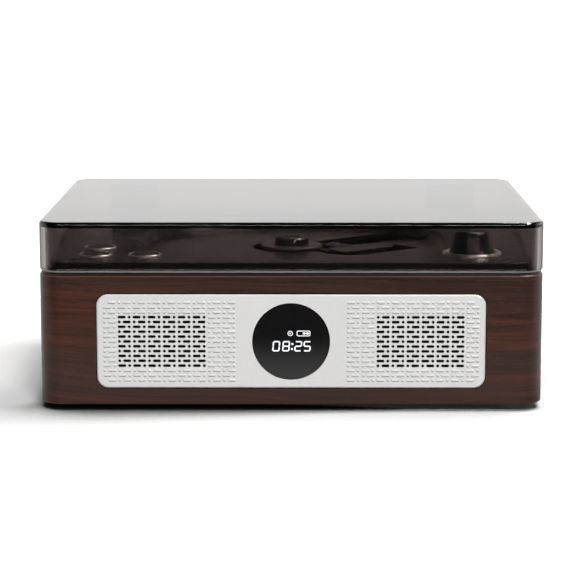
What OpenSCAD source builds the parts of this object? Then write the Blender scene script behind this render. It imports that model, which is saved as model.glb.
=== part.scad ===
// Desktop CD music centre: a veneered wooden cabinet with a hinged, smoke-tinted dust lid,
// a moulded deck with a top-loading disc mechanism, and two small speakers behind a
// perforated front panel with a round clock window.
// Millimetres. X runs to the right, Y from the front to the rear, Z up from the table.

/* [Cabinet] */
// Width of the wooden cabinet
cab_w = 205; // [200:1:240]
// Depth of the wooden cabinet
cab_d = 160; // [156:1:200]
// Height of the wooden cabinet
cab_h = 53.5; // [53:0.5:70]
// Thickness of the cabinet wall
cab_wall = 5; // [4:0.5:6]
// Radius of the cabinet's upright corners
cab_corner_r = 9.5; // [8:0.5:13]
// Bevel along the cabinet's top and bottom edges
cab_bevel = 0.6; // [0.2:0.1:1.2]
// Height of the rubber feet that shows below the wood
foot_h = 2.5; // [2:0.5:6]
// Diameter of a rubber foot
foot_d = 14; // [10:1:20]
// Thickness of the base plate
base_t = 3; // [2:0.5:4]

/* [Lid] */
// Height of the dust lid
lid_h = 20.4; // [19:0.1:40]
// Thickness of the lid's side walls
lid_wall = 2.3; // [1.8:0.1:2.8]
// Thickness of the lid's top
lid_top_t = 2.5; // [1.8:0.1:3]
// Rounding of the lid's top edge
lid_edge_r = 1.2; // [0.5:0.1:1.6]
// Bevel along the lid's lower outer edge
lid_bevel = 0.9; // [0.3:0.1:1.2]
// Gap between the wood and the closed lid
lid_gap = 0.8; // [0.7:0.1:2]

/* [Deck] */
// Height of the deck above the wood
deck_rise = 4.5; // [4:0.5:8]
// Distance from the cabinet's face to the deck's raised edge
deck_inset = 3.75; // [3.4:0.05:4.5]
// Thickness of the deck moulding
deck_skin = 2; // [1.6:0.1:2.4]
// Depth of the disc well below the deck
well_depth = 4; // [3.4:0.1:4.4]
// Radius of the disc well at the deck
well_r = 67; // [65:0.5:68]
// Radius of the cove between the well's floor and its rim
well_cove_r = 4.4; // [3.6:0.1:4.6]
// Share of the deck's spare depth that lies in front of the disc well
well_lead = 0.37; // [0.2:0.01:0.6]

/* [Disc mechanism] */
// Direction in which the pickup travels, in degrees from the right
sled_angle = 41; // [36:1:46]
// Travel of the pickup sled
sled_travel = 33; // [28:0.5:33]
// Radius of the disc hub
hub_r = 7.4; // [7.2:0.05:7.45]
// Height of the disc hub above the turntable
hub_h = 3.4; // [2.8:0.1:4]
// Radius of the turntable under the disc
turntable_r = 13.45; // [12:0.05:15]
// Diameter of the spindle motor
spindle_motor_d = 24.4; // [20:0.2:25]
// Diameter of the sled motor
sled_motor_d = 21; // [18:0.5:22]
// Tooth size of the sled gears
gear_module = 0.6; // [0.5:0.02:0.62]

/* [Front panel] */
// Distance from the cabinet's side to the front panel
panel_side = 23.75; // [20:0.25:26]
// Height of the front panel
panel_h = 38.5; // [38:0.5:40]
// Corner radius of the front panel
panel_r = 4.6; // [3:0.2:6]
// Distance that the panel stands proud of the wood
panel_proud = 0.8; // [0.4:0.1:1.5]
// Diameter of the round display window
display_d = 31.2; // [26:0.2:32]
// Distance from the panel's side edge to the centre of a grille
grille_side = 26.35; // [24:0.05:29]
// Number of perforated rows
grille_rows = 11; // [7:2:13]
// Number of dash-and-dot pairs in a row
grille_pairs = 6; // [4:1:6]
// Length of a dash-shaped hole
dash_l = 3.2; // [2.4:0.1:3.2]
// Diameter of a dot-shaped hole
dot_d = 1.2; // [0.8:0.05:1.2]
// Distance between two rows
row_pitch = 2; // [1.8:0.05:2.1]
// Diameter of a speaker's mounting flange
speaker_d = 40; // [36:1:42]

/* [Controls] */
// Outer diameter of a button's metal ring
button_ring_d = 13.8; // [12:0.2:15]
// Diameter of a button cap
button_d = 11.6; // [10:0.2:11.8]
// Distance between neighbouring buttons
button_pitch = 20.5; // [18:0.5:21]
// Travel of a button
button_travel = 1; // [0.5:0.1:1]
// Outer diameter of the trim ring round the volume knob
knob_ring_d = 24.5; // [22:0.5:27]
// Diameter of the volume knob at its foot
knob_d = 18.6; // [16:0.2:19]
// Height of the volume knob
knob_h = 10; // [8:0.5:11]
// Number of flutes round the knob
knob_flutes = 20; // [12:2:26]

/* [Lid hinges] */
// Distance from the cabinet's side to the centre of a hinge
hinge_side = 28; // [24.5:0.5:42]
// Width of a hinge
hinge_w = 22.6; // [18:0.2:26]
// Radius of the hinge barrel
barrel_r = 2.6; // [2.2:0.1:2.8]
// Radius of the hinge pin
hinge_pin_r = 1.2; // [0.9:0.1:1.4]
// Height of the clamp that grips the lid
clamp_h = 11; // [8:0.5:12]

/* [Hidden] */
$fn = 48;
eps = 0.01;
fit_gap = 0.05; // radial gap of a running fit
loose_gap = 0.2; // gap round a part that drops into its seat

walnut = [0.25, 0.13, 0.10];
smoke = [0.35, 0.32, 0.31, 0.45];
gloss_black = [0.06, 0.06, 0.07];
satin_black = [0.10, 0.10, 0.11];
silver = [0.84, 0.84, 0.83];
steel = [0.70, 0.71, 0.73];
zinc = [0.55, 0.56, 0.58];
rubber_black = [0.08, 0.08, 0.08];
board_green = [0.07, 0.30, 0.17];
blue_grey = [0.34, 0.38, 0.45];
pale_grey = [0.72, 0.72, 0.72];
brass = [0.80, 0.62, 0.28];

// Hinge axis, measured from the cabinet's rear face and the lid's lower edge
barrel_off = barrel_r + 0.6;
hinge_rise = 0.4;

// Middle of the whole outline, so that the origin lies under its centre
rear_reach = barrel_off + barrel_r;
centre_y = (panel_proud - rear_reach) / 2;
front_y = centre_y - cab_d / 2;
rear_y = centre_y + cab_d / 2;

// Heights
cab_z0 = foot_h;
cab_z1 = cab_z0 + cab_h;
base_recess = 1.5;
base_z0 = cab_z0 + base_recess;
base_z1 = base_z0 + base_t;
lid_z0 = cab_z1 + lid_gap;
lid_z1 = lid_z0 + lid_h;
deck_z = cab_z1 + deck_rise;
deck_under = deck_z - deck_skin - 0.2;
well_z = deck_z - well_depth;
well_under = well_z - deck_skin;

// Cabinet
rebate = 2;
half_in = cab_w / 2 - cab_wall;
block_w = 12.3;
block_d = 13;
block_top = cab_z1 - 3;
corner_screw_x = half_in - 8.3;
corner_screw_in = cab_wall + 5.8;
base_screw_x = half_in - 7;
base_screw_in = cab_wall + 6;
screw_r = 1.5;

// Deck
flange_t = 0.6;
flange_inset = 0.7;
deck_rear_inset = 5.5;
deck_w = cab_w - 2 * deck_inset;
deck_d = cab_d - deck_inset - deck_rear_inset;
deck_y = front_y + deck_inset + deck_d / 2;
deck_corner_r = 8;
deck_edge_r = 0.6;
lip_t = 2;
lip_h = 2.9;
plug_r = 2.5;
plug_deep = 2.4;
head_r = 2.4;

// Disc mechanism: X is the direction of travel and Y points to the rear left
spindle_y = front_y + deck_inset + well_r + well_lead * (deck_d - 2 * well_r);
hub_hole_r = 17.15;
window_start = -1.5;
window_end = 39.6;
window_back = 5;
window_front = 39;
window_round = 12;
channel_front = 22.5;
channel_end = 62.5;
shelf_start = 12;
shelf_front = 22.3;
shelf_back = 8.6;
shelf_drop = 1.2;
chassis_x0 = -23;
chassis_x1 = 83;
chassis_y0 = -45;
chassis_y1 = 25;
chassis_cut = 16;
chassis_t = 2;
chassis_top = well_under - 7.5;
chassis_bottom = chassis_top - chassis_t;
rim_wall = 1.4;
rim_h = 3;
damper_r = 4.4;
damper_waist_r = 3;
damper_h = 5;
damper_at = [[-17, 17], [-17, -39], [62, 19], [62, -39]];
boss_r = 4;
shoulder_r = 1.5;
rod_y = -18.5;
rod_r = 1.5;
rail_y = 12;
rail_r = 1;
rod_z = chassis_top + 4.8;
rod_x0 = 4;
rod_x1 = 74;
rod_block = 4;
lens_x = 24;
sled_x0 = lens_x - 10;
sled_x1 = lens_x + 12;
sled_y0 = -22.5;
sled_y1 = 14.5;
sled_z0 = chassis_top + 3;
sled_z1 = well_under - 0.5;
optic_x0 = lens_x - 9;
optic_x1 = lens_x + 11;
optic_y0 = -12;
optic_y1 = 8;
optic_z0 = chassis_bottom - 2;
turntable_z = well_z + 1.1;
turntable_t = 1.4;
hub_z = turntable_z + hub_h;
shaft_r = 1;
shaft_up = 2;
shaft_foot = 0.5;
spindle_motor_h = 9;
sled_motor_h = 10;

// Sled gears
gear_n = 40;
pinion_n = 14;
pressure = 20;
tooth_top = 0.8;
tooth_root = 1.15;
backlash = 0.1;
gear_pitch_r = gear_module * gear_n / 2;
pinion_pitch_r = gear_module * pinion_n / 2;
rack_y = -24;
gear_x = 40;
gear_y = rack_y - pinion_pitch_r;
pinion_x = gear_x - gear_pitch_r - pinion_pitch_r;
gear_z = chassis_top + 0.4;
gear_t = 2;
rack_z = sled_z0;
rack_t = 3;
post_r = 1;
rack_teeth = 20;

// Front panel and what it carries
panel_w = cab_w - 2 * panel_side;
grille_x = panel_w / 2 - grille_side;
panel_gap = 0.4;
panel_z = cab_z0 + cab_h / 2 - 0.45;
panel_t = 2.2;
panel_back = panel_proud - panel_t;
panel_rim = 1.5;
panel_bevel = 0.5;
hole_gap = 0.83;
dash_w = 1.15;
pair_pitch = dash_l + dot_d + 2 * hole_gap;
grille_w = grille_pairs * pair_pitch - hole_gap;
grille_h = (grille_rows - 1) * row_pitch + dot_d;
baffle_t = 3;
baffle_w = 2 * (half_in - block_w - 0.4);
baffle_bottom = base_z1 + loose_gap - panel_z;
baffle_top = cab_z1 - lip_h - 2.7 - panel_z;
baffle_back = -cab_wall - baffle_t;
panel_boss_r = 2.4;
panel_boss_x = panel_w / 2 - panel_rim - 3;
panel_boss_y = panel_h / 2 - panel_rim - 2.7;
panel_boss_mid_x = 24;
small_screw_r = 0.85;
speaker_open_r = speaker_d / 2 - 3;
speaker_screw_r = speaker_d / 2 - 1.4;
speaker_flange_t = 1.2;
speaker_deep = 11.4;
magnet_r = 13;
magnet_t = 7.6;
display_board_w = 2 * (grille_x - speaker_d / 2 - 1.4);
display_board_h = 24;
digits_w = 27;
digits_h = 13;
pcb_t = 1.6;

// Controls
button_x = -(half_in - 16.5);
button_y = front_y + 24;
button_at = [[button_x, button_y], [button_x, button_y + button_pitch],
             [button_x + button_pitch, button_y]];
ring_h = 0.8;
cap_flange_r = button_d / 2 + 1.45;
spigot_r = button_ring_d / 2 - 0.5;
stem_r = 1.7;
switch_floor = 0.9;
stem_up = switch_floor + button_travel + 0.6;
key_board_z = deck_under - 8;
switch_h = 3.5;
key_post_at = [[-10, button_pitch / 2], [button_pitch / 2, button_pitch / 2],
               [button_pitch, button_pitch]];
key_post_r = 3;
knob_x = half_in - 22.3;
knob_y = front_y + 29.6;
bush_r = 3.5;
control_shaft_r = 3;
knob_z = deck_z + 0.5;
nut_h = 1.8;

// Electronics
board_x0 = 19.5 - half_in;
board_x1 = half_in - 65.5;
board_y0 = rear_y - 65;
board_y1 = rear_y - 10;
board_z = base_z1 + 5;
standoff_r = 3;
standoff_in = 5;
capacitor_r = 4;
capacitor_h = 11;
capacitor_pitch = 13;
fin_t = 1.2;
fin_h = 9;
fin_l = 14;
fin_pitch = 3.4;
fin_foot_t = 2;
socket_x = 66.5 - half_in;
socket_plate_w = 50;
socket_plate_h = 20;
socket_plate_t = 1.5;
audio_x = socket_x - 10;
charge_x = socket_x + 10;
audio_r = 1.8;
audio_z = board_z + pcb_t + 4;
cell_r = 9.2;
cell_l = 65;
cell_x = half_in - 29.5;
cell_y = centre_y + 15;
cell_apart = 0.6;
holder_floor = 2;
holder_wall = 1.9;
holder_end = 3;
holder_h = 12;
cell_z = base_z1 + holder_floor + cell_r;

// Hinges
hinge_x = cab_w / 2 - hinge_side;
hinge_axis_y = rear_y + barrel_off;
hinge_axis_z = lid_z0 + hinge_rise;
leaf_t = 1.8;
leaf_h = 17;
cheek_t = 1.8;
clamp_z = lid_z0 + 4.4;
knuckle_gap = 0.2;
knuckle_w = hinge_w / 3;

// ---------------------------------------------------------------- helpers

// Rectangle with round corners, centred
module round_rect(w, d, r) {
    square([w, d - 2 * r], center = true);
    square([w - 2 * r, d], center = true);
    for (sx = [-1, 1], sy = [-1, 1])
        translate([sx * (w / 2 - r), sy * (d / 2 - r)])
            circle(r);
}

// Sweeps a wall's section round a rectangle with round corners. The section is drawn with
// X as the distance from the corner's centre and Y as the height.
module sweep_wall(w, d, r) {
    for (side = [0 : 3]) {
        across = side % 2 == 0 ? w : d;
        along = side % 2 == 0 ? d : w;
        rotate([0, 0, side * 90])
            translate([across / 2 - r, along / 2 - r, 0]) {
                rotate_extrude(angle = 90)
                    children();
                rotate([90, 0, 0])
                    linear_extrude(along - 2 * r)
                        children();
            }
    }
}

// Moves to the middle of the cabinet
module at_cabinet(z = 0) {
    translate([0, centre_y, z])
        children();
}

// Turns X right, Y up and Z towards the viewer, from the cabinet's front face
module on_front(x = 0, z = 0) {
    translate([x, front_y, panel_z])
        rotate([90, 0, 0])
            translate([0, 0, z])
                children();
}

// Moves to the spindle and turns X along the pickup's travel
module at_spindle(z = 0) {
    translate([0, spindle_y, z])
        rotate([0, 0, sled_angle])
            children();
}

module at_each(points, z = 0) {
    for (p = points)
        translate([p[0], p[1], z])
            children();
}

// The four corners at a distance x from the middle and a depth in from front and rear
module at_corners(x, inset, z = 0) {
    for (sx = [-1, 1], y = [front_y + inset, rear_y - inset])
        translate([sx * x, y, z])
            children();
}

// Screw with a cross recess that points down, with the underside of its head at the origin
module screw(shank_r, shank_l, cap_r, cap_h) {
    translate([0, 0, -shank_l])
        cylinder(h = shank_l, r = shank_r);
    difference() {
        cylinder(h = cap_h, r = cap_r);
        for (turn = [45, 135])
            rotate([0, 0, turn])
                translate([0, 0, cap_h])
                    cube([1.2 * cap_r, 0.3 * cap_r, cap_h], center = true);
    }
}

// ---------------------------------------------------------------- cabinet and base

module cabinet_section() {
    r_in = cab_corner_r - cab_wall;
    polygon([
        [r_in + rebate, cab_z0], [cab_corner_r - cab_bevel, cab_z0],
        [cab_corner_r, cab_z0 + cab_bevel], [cab_corner_r, cab_z1 - cab_bevel],
        [cab_corner_r - cab_bevel, cab_z1], [r_in, cab_z1],
        [r_in, base_z1], [r_in + rebate, base_z1]
    ]);
}

module corner_block() {
    for (sx = [-1, 1], sy = [-1, 1])
        translate([sx * (half_in + 1 - block_w / 2 - 0.5),
                   centre_y + sy * (cab_d / 2 - cab_wall + 1 - block_d / 2 - 0.5), base_z1])
            linear_extrude(block_top - base_z1)
                square([block_w + 1, block_d + 1], center = true);
}

module cabinet() {
    color(walnut)
        difference() {
            union() {
                at_cabinet()
                    sweep_wall(cab_w, cab_d, cab_corner_r)
                        cabinet_section();
                corner_block();
            }
            on_front(z = -cab_wall - 1)
                linear_extrude(cab_wall + 2)
                    round_rect(panel_w + 2 * panel_gap, panel_h + 2 * panel_gap,
                               panel_r + panel_gap);
            translate([socket_x, rear_y - cab_wall / 2, audio_z])
                cube([socket_plate_w - 4, cab_wall + 2, socket_plate_h - 4], center = true);
            translate([socket_x, rear_y, audio_z])
                cube([socket_plate_w + 2 * loose_gap, 2 * socket_plate_t,
                      socket_plate_h + 2 * loose_gap], center = true);
            at_corners(corner_screw_x, corner_screw_in, block_top - 10)
                cylinder(h = 11, r = screw_r + fit_gap);
            at_corners(base_screw_x, base_screw_in, base_z1 - 1)
                cylinder(h = 12, r = screw_r + fit_gap);
            on_front(z = -cab_wall - 1)
                at_each(baffle_screw_at())
                    cylinder(h = 4.1, r = small_screw_r + fit_gap);
            hinge_leaf_screws(screw_r - 0.5 + fit_gap, 4.2);
        }
}

module base_plate() {
    color(satin_black)
        difference() {
            union() {
                at_cabinet(base_z0)
                    linear_extrude(base_t)
                        round_rect(cab_w - 2 * (cab_wall - rebate + loose_gap),
                                   cab_d - 2 * (cab_wall - rebate + loose_gap),
                                   cab_corner_r - cab_wall + rebate - loose_gap);
                at_each(standoff_at(), base_z1 - eps)
                    cylinder(h = board_z - base_z1 + eps, r = standoff_r);
            }
            at_corners(base_screw_x, base_screw_in, base_z0 - 1)
                cylinder(h = base_t + 2, r = screw_r + 0.1);
            at_corners(base_screw_x, base_screw_in, base_z0 - 1)
                cylinder(h = 2.6, r = head_r + 0.4);
            at_each(standoff_at(), base_z1 + 0.4)
                cylinder(h = board_z, r = small_screw_r + fit_gap);
            vent_slots();
        }
}

// Air slots in the base, under the speakers and the main board
module vent_slots() {
    slot_l = 26;
    slot_w = 2.4;
    for (sx = [-1, 1], row = [0 : 4])
        translate([sx * 42, front_y + 44 + row * 6, base_z0 - 1])
            linear_extrude(base_t + 2) {
                square([slot_l, slot_w], center = true);
                for (end = [-1, 1])
                    translate([end * slot_l / 2, 0])
                        circle(slot_w / 2);
            }
}

module rubber_feet() {
    color(rubber_black)
        at_corners(half_in - 18, 24)
            rotate_extrude()
                polygon([[0, 0], [foot_d / 2 - 1.2, 0], [foot_d / 2 - 0.6, 0.6],
                         [foot_d / 2, base_z0], [0, base_z0]]);
}

module base_screws() {
    color(zinc)
        at_corners(base_screw_x, base_screw_in, base_z0 + 1.6)
            mirror([0, 0, 1])
                screw(screw_r, 11, head_r, 1.4);
}

// ---------------------------------------------------------------- front panel

module stadium(l, w) {
    square([l - w, w], center = true);
    for (end = [-1, 1])
        translate([end * (l - w) / 2, 0])
            circle(w / 2, $fn = 16);
}

// One row of dashes and dots. A row that starts with a dot is the other one shifted.
module grille_row(dot_first) {
    dash_at = dot_first ? dot_d + hole_gap + dash_l / 2 : dash_l / 2;
    dot_at = dot_first ? dot_d / 2 : dash_l + hole_gap + dot_d / 2;
    for (pair = [0 : grille_pairs - 1])
        translate([pair * pair_pitch - grille_w / 2, 0]) {
            translate([dash_at, 0])
                stadium(dash_l, dash_w);
            translate([dot_at, 0])
                circle(dot_d / 2, $fn = 16);
        }
}

module grille_holes() {
    for (row = [0 : grille_rows - 1])
        translate([0, (row - (grille_rows - 1) / 2) * row_pitch])
            grille_row(row % 2 == 1);
}

// Edge of the panel: bevelled at the front, with a rim that reaches back to the baffle
module panel_edge_section() {
    inner = panel_r - 2.5;
    polygon([
        [inner, panel_back], [inner, panel_proud], [panel_r - panel_bevel, panel_proud],
        [panel_r, panel_proud - panel_bevel], [panel_r, -cab_wall],
        [panel_r - panel_rim, -cab_wall], [panel_r - panel_rim, panel_back]
    ]);
}

function panel_boss_at() = [
    for (sx = [-1, 1], sy = [-1, 1], x = [panel_boss_mid_x, panel_boss_x])
        [sx * x, sy * panel_boss_y]
];

module front_panel() {
    color(silver)
        on_front()
            difference() {
                union() {
                    translate([0, 0, panel_back])
                        linear_extrude(panel_t)
                            difference() {
                                round_rect(panel_w - 5 + eps, panel_h - 5 + eps, panel_r - 2.5);
                                circle(display_d / 2 + loose_gap);
                                for (side = [0, 1])
                                    mirror([side, 0])
                                        translate([-grille_x, 0])
                                            grille_holes();
                            }
                    sweep_wall(panel_w, panel_h, panel_r)
                        panel_edge_section();
                    at_each(panel_boss_at(), -cab_wall)
                        cylinder(h = panel_back + cab_wall + eps, r = panel_boss_r);
                }
                at_each(panel_boss_at(), -cab_wall - 1)
                    cylinder(h = panel_back + cab_wall + 0.6, r = small_screw_r + fit_gap);
            }
}

module grille_cloth() {
    color(satin_black)
        for (sx = [-1, 1])
            on_front(sx * grille_x, panel_back - 0.4)
                linear_extrude(0.4)
                    square([grille_w + 4, grille_h + 4], center = true);
}

function baffle_screw_at() = [
    for (sx = [-1, 1], sy = [-1, 1])
        [sx * (panel_w / 2 + panel_gap + 2.7), sy * (panel_h / 2 - 6)]
];
function speaker_screw_at() = [
    for (sx = [-1, 1], turn = [45 : 90 : 315])
        [sx * grille_x + speaker_screw_r * cos(turn), speaker_screw_r * sin(turn)]
];

module speaker_baffle() {
    color(satin_black)
        on_front(z = baffle_back)
            difference() {
                linear_extrude(baffle_t)
                    difference() {
                        translate([-baffle_w / 2, baffle_bottom])
                            square([baffle_w, baffle_top - baffle_bottom]);
                        for (sx = [-1, 1])
                            translate([sx * grille_x, 0])
                                circle(speaker_open_r);
                        square([digits_w + 3, digits_h + 3], center = true);
                        for (p = panel_boss_at())
                            translate(p)
                                circle(small_screw_r + 0.15);
                        for (p = baffle_screw_at())
                            translate(p)
                                circle(small_screw_r + 0.15);
                    }
                at_each(speaker_screw_at(), -1)
                    cylinder(h = baffle_t, r = small_screw_r + fit_gap);
            }
}

module front_screws() {
    color(zinc) {
        on_front(z = baffle_back)
            at_each(concat(panel_boss_at(), baffle_screw_at()))
                mirror([0, 0, 1])
                    screw(small_screw_r, 5.6, 1.7, 1.1);
        on_front(z = baffle_back - speaker_flange_t)
            at_each(speaker_screw_at())
                mirror([0, 0, 1])
                    screw(small_screw_r, 2.9, 1.2, 0.9);
    }
}

// ---------------------------------------------------------------- speakers

// Turns the axis to the rear, from the back of the baffle
module at_speaker(side) {
    on_front(side * grille_x, baffle_back)
        rotate([180, 0, 0])
            children();
}

module basket() {
    open_r = speaker_open_r - 0.4;
    seat_r = magnet_r - 2;
    color(zinc)
        difference() {
            rotate_extrude()
                polygon([
                    [open_r, 0], [speaker_d / 2, 0], [speaker_d / 2, speaker_flange_t],
                    [open_r + 0.5, speaker_flange_t], [seat_r, speaker_deep - 2],
                    [seat_r, speaker_deep], [5.4, speaker_deep], [5.4, speaker_deep - 1.2],
                    [seat_r - 1.2, speaker_deep - 1.2], [seat_r - 1.2, speaker_deep - 2.4],
                    [open_r, speaker_flange_t]
                ]);
            for (turn = [0 : 90 : 270])
                rotate([0, 0, turn])
                    translate([seat_r + 1, -5.5, speaker_flange_t + 1])
                        cube([8, 11, speaker_deep - speaker_flange_t - 4]);
            for (turn = [45 : 90 : 315])
                rotate([0, 0, turn])
                    translate([speaker_screw_r, 0, -1])
                        cylinder(h = speaker_flange_t + 2, r = small_screw_r + 0.1);
        }
}

// Rubber surround, paper cone, dust cap and coil former
module cone() {
    edge_r = speaker_open_r - 0.6;
    roll_r = 1.5;
    neck_r = 4.9;
    color(rubber_black) {
        rotate_extrude()
            union() {
                difference() {
                    translate([edge_r - roll_r, 0.3])
                        circle(roll_r);
                    translate([edge_r - roll_r, 0.3])
                        circle(roll_r - 0.5);
                    translate([0, 0.3])
                        square([speaker_d, speaker_d]);
                }
                polygon([[edge_r - 2 * roll_r, 0.3], [edge_r - 2 * roll_r + 0.5, 0.3],
                         [neck_r + 0.3, 6.2], [neck_r, speaker_deep - 1.5],
                         [neck_r - 0.4, speaker_deep - 1.5], [neck_r - 0.4, 6]]);
            }
        translate([0, 0, 6.2])
            intersection() {
                difference() {
                    translate([0, 0, 4])
                        sphere(6.6);
                    translate([0, 0, 4])
                        sphere(6.2);
                }
                translate([0, 0, -4])
                    cylinder(h = 4.2, r = neck_r);
            }
    }
}

module magnet() {
    color(steel)
        translate([0, 0, speaker_deep])
            rotate_extrude()
                polygon([[0, 0], [magnet_r - 1, 0], [magnet_r - 1, 1.2], [magnet_r, 1.2],
                         [magnet_r, magnet_t - 1.4], [magnet_r - 1, magnet_t - 1.4],
                         [magnet_r - 1, magnet_t], [0, magnet_t]]);
}

module speaker_basket_left() { at_speaker(-1) basket(); }
module speaker_basket_right() { at_speaker(1) basket(); }
module speaker_cone_left() { at_speaker(-1) cone(); }
module speaker_cone_right() { at_speaker(1) cone(); }
module speaker_magnet_left() { at_speaker(-1) magnet(); }
module speaker_magnet_right() { at_speaker(1) magnet(); }

// ---------------------------------------------------------------- display

module display_lens() {
    color(gloss_black)
        on_front() {
            translate([0, 0, panel_back - 1])
                cylinder(h = 1, r = display_d / 2 + 1.4);
            translate([0, 0, panel_back - eps])
                cylinder(h = panel_t - 0.1, r = display_d / 2);
        }
}

module display_board() {
    color(board_green)
        on_front(z = baffle_back - pcb_t)
            linear_extrude(pcb_t)
                difference() {
                    square([display_board_w, display_board_h], center = true);
                    for (p = display_screw_at())
                        translate(p)
                            circle(small_screw_r + 0.15);
                }
}

function display_screw_at() = [
    for (sx = [-1, 1], sy = [-1, 1])
        [sx * (display_board_w / 2 - 3), sy * (display_board_h / 2 - 5)]
];

// Light-emitting digit block on the display board
module display_digits() {
    color(gloss_black)
        on_front(z = baffle_back)
            linear_extrude(-baffle_back + panel_back - 1.2)
                square([digits_w, digits_h], center = true);
}

// ---------------------------------------------------------------- deck

module deck_section() {
    r = deck_corner_r;
    square_r = r - deck_edge_r;
    translate([r - deck_skin, cab_z1])
        square([deck_skin, deck_rise - deck_edge_r]);
    translate([r - deck_skin - 1, deck_under])
        square([deck_skin + 1 - deck_edge_r, deck_z - deck_under]);
    translate([square_r, deck_z - deck_edge_r])
        circle(deck_edge_r, $fn = 24);
}

module plug_places(z) { at_corners(corner_screw_x, corner_screw_in, z) children(); }

// Outline of the opening for the pickup: a broad part beside the hub and a channel beyond it
module pickup_window() {
    circle(hub_hole_r);
    difference() {
        translate([window_start, -window_front])
            square([window_end - window_start, window_front + window_back]);
        translate([window_start, -window_front])
            difference() {
                translate([-1, -1])
                    square(window_round + 1);
                translate([window_round, window_round])
                    circle(window_round);
            }
    }
    translate([window_end - 1, -channel_front])
        square([channel_end - window_end + 1, channel_front + window_back]);
}

// Lowered shelf over the guide rod, beside the slot that the lens moves along
module pickup_shelf(grow) {
    translate([shelf_start - grow, -shelf_front])
        square([channel_end + grow - shelf_start, shelf_front - shelf_back]);
}

module well_hollow(r, grow, z0, z1) {
    floor_r = well_r - well_cove_r;
    cove_z = well_z + well_cove_r;
    translate([0, spindle_y, 0])
        rotate_extrude($fn = 96)
            intersection() {
                union() {
                    translate([0, z0])
                        square([floor_r, z1 - z0]);
                    translate([floor_r, cove_z])
                        circle(well_cove_r + grow, $fn = 64);
                }
                translate([0, z0])
                    square([r, z1 - z0]);
            }
}

module deck_bosses() {
    at_corners(corner_screw_x, corner_screw_in, block_top)
        cylinder(h = deck_z - 1 - block_top, r = boss_r);
    translate([button_x, button_y, key_board_z])
        at_each(key_post_at)
            cylinder(h = deck_z - 1 - key_board_z, r = key_post_r);
    at_spindle(chassis_bottom + chassis_t / 2 + damper_h / 2)
        for (p = damper_at) {
            top = norm(p) < well_r ? well_under + 1 : deck_z - 1;
            translate([p[0], p[1], 0])
                cylinder(h = top - chassis_bottom - chassis_t / 2 - damper_h / 2, r = boss_r);
        }
}

module deck_plate() {
    color(gloss_black)
        difference() {
            union() {
                translate([0, deck_y, 0]) {
                    sweep_wall(deck_w, deck_d, deck_corner_r)
                        deck_section();
                    translate([0, 0, deck_under])
                        linear_extrude(deck_z - deck_under)
                            round_rect(deck_w - 2 * deck_skin, deck_d - 2 * deck_skin,
                                       deck_corner_r - deck_skin);
                }
                difference() {
                    union() {
                        at_cabinet(cab_z1)
                            linear_extrude(flange_t)
                                round_rect(cab_w - 2 * flange_inset, cab_d - 2 * flange_inset,
                                           cab_corner_r - flange_inset);
                        at_cabinet(cab_z1 - lip_h)
                            linear_extrude(lip_h + flange_t)
                                round_rect(2 * (half_in - loose_gap),
                                           cab_d - 2 * (cab_wall + loose_gap),
                                           cab_corner_r - cab_wall - loose_gap);
                    }
                    at_cabinet(cab_z1 - lip_h - 1)
                        linear_extrude(lip_h + flange_t + 2)
                            round_rect(2 * (half_in - loose_gap - lip_t),
                                       cab_d - 2 * (cab_wall + loose_gap + lip_t),
                                       cab_corner_r - cab_wall - loose_gap - lip_t);
                }
                well_hollow(well_r + deck_skin, deck_skin, well_under, deck_z - 0.5);
                deck_bosses();
            }
            well_hollow(well_r + 1, 0, well_z, deck_z + 1);
            at_spindle(well_under - 1)
                linear_extrude(deck_rise + well_depth + 4)
                    difference() {
                        pickup_window();
                        difference() {
                            pickup_shelf(0);
                            circle(hub_hole_r);
                        }
                    }
            at_spindle(well_z - shelf_drop)
                linear_extrude(deck_rise + well_depth)
                    intersection() {
                        pickup_window();
                        pickup_shelf(1);
                    }
            at_each(button_at, deck_under - 1)
                cylinder(h = deck_z, r = spigot_r + fit_gap);
            translate([knob_x, knob_y, deck_under - 1])
                cylinder(h = deck_z, r = bush_r + fit_gap);
            plug_places(deck_z - plug_deep)
                cylinder(h = plug_deep + 1, r = plug_r + fit_gap);
            plug_places(block_top - 1)
                cylinder(h = deck_z, r = screw_r + 0.1);
            translate([button_x, button_y, key_board_z - 1])
                at_each(key_post_at)
                    cylinder(h = 7, r = small_screw_r + fit_gap);
            at_spindle(chassis_top)
                at_each(damper_at)
                    cylinder(h = 6, r = shoulder_r - 0.3 + fit_gap);
        }
}

module deck_plugs() {
    color(satin_black)
        plug_places(deck_z - plug_deep + 1.5)
            cylinder(h = plug_deep - 1.7, r = plug_r);
}

module deck_screws() {
    color(zinc)
        plug_places(deck_z - plug_deep)
            screw(screw_r, deck_z - plug_deep - block_top + 9, head_r, 1.4);
}

// ---------------------------------------------------------------- mechanism chassis

// Rectangle with two corners cut off, so that it stays clear of the cabinet's walls
module chassis_outline(inset) {
    difference() {
        translate([(chassis_x0 + chassis_x1) / 2, (chassis_y0 + chassis_y1) / 2])
            round_rect(chassis_x1 - chassis_x0 - 2 * inset, chassis_y1 - chassis_y0 - 2 * inset,
                       5 - inset);
        for (y = [chassis_y0, chassis_y1])
            translate([chassis_x1, y])
                rotate(45)
                    square(chassis_cut * sqrt(2) + 2 * inset, center = true);
    }
}

// Upright that holds one end of a rod
module rod_post(y, half_w, r) {
    difference() {
        translate([-rod_block / 2, y - half_w, chassis_top - eps])
            cube([rod_block, 2 * half_w, rod_z + r + 0.9 - chassis_top]);
        translate([-rod_block, y, rod_z])
            rotate([0, 90, 0])
                cylinder(h = 2 * rod_block, r = r + fit_gap);
    }
}

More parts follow.
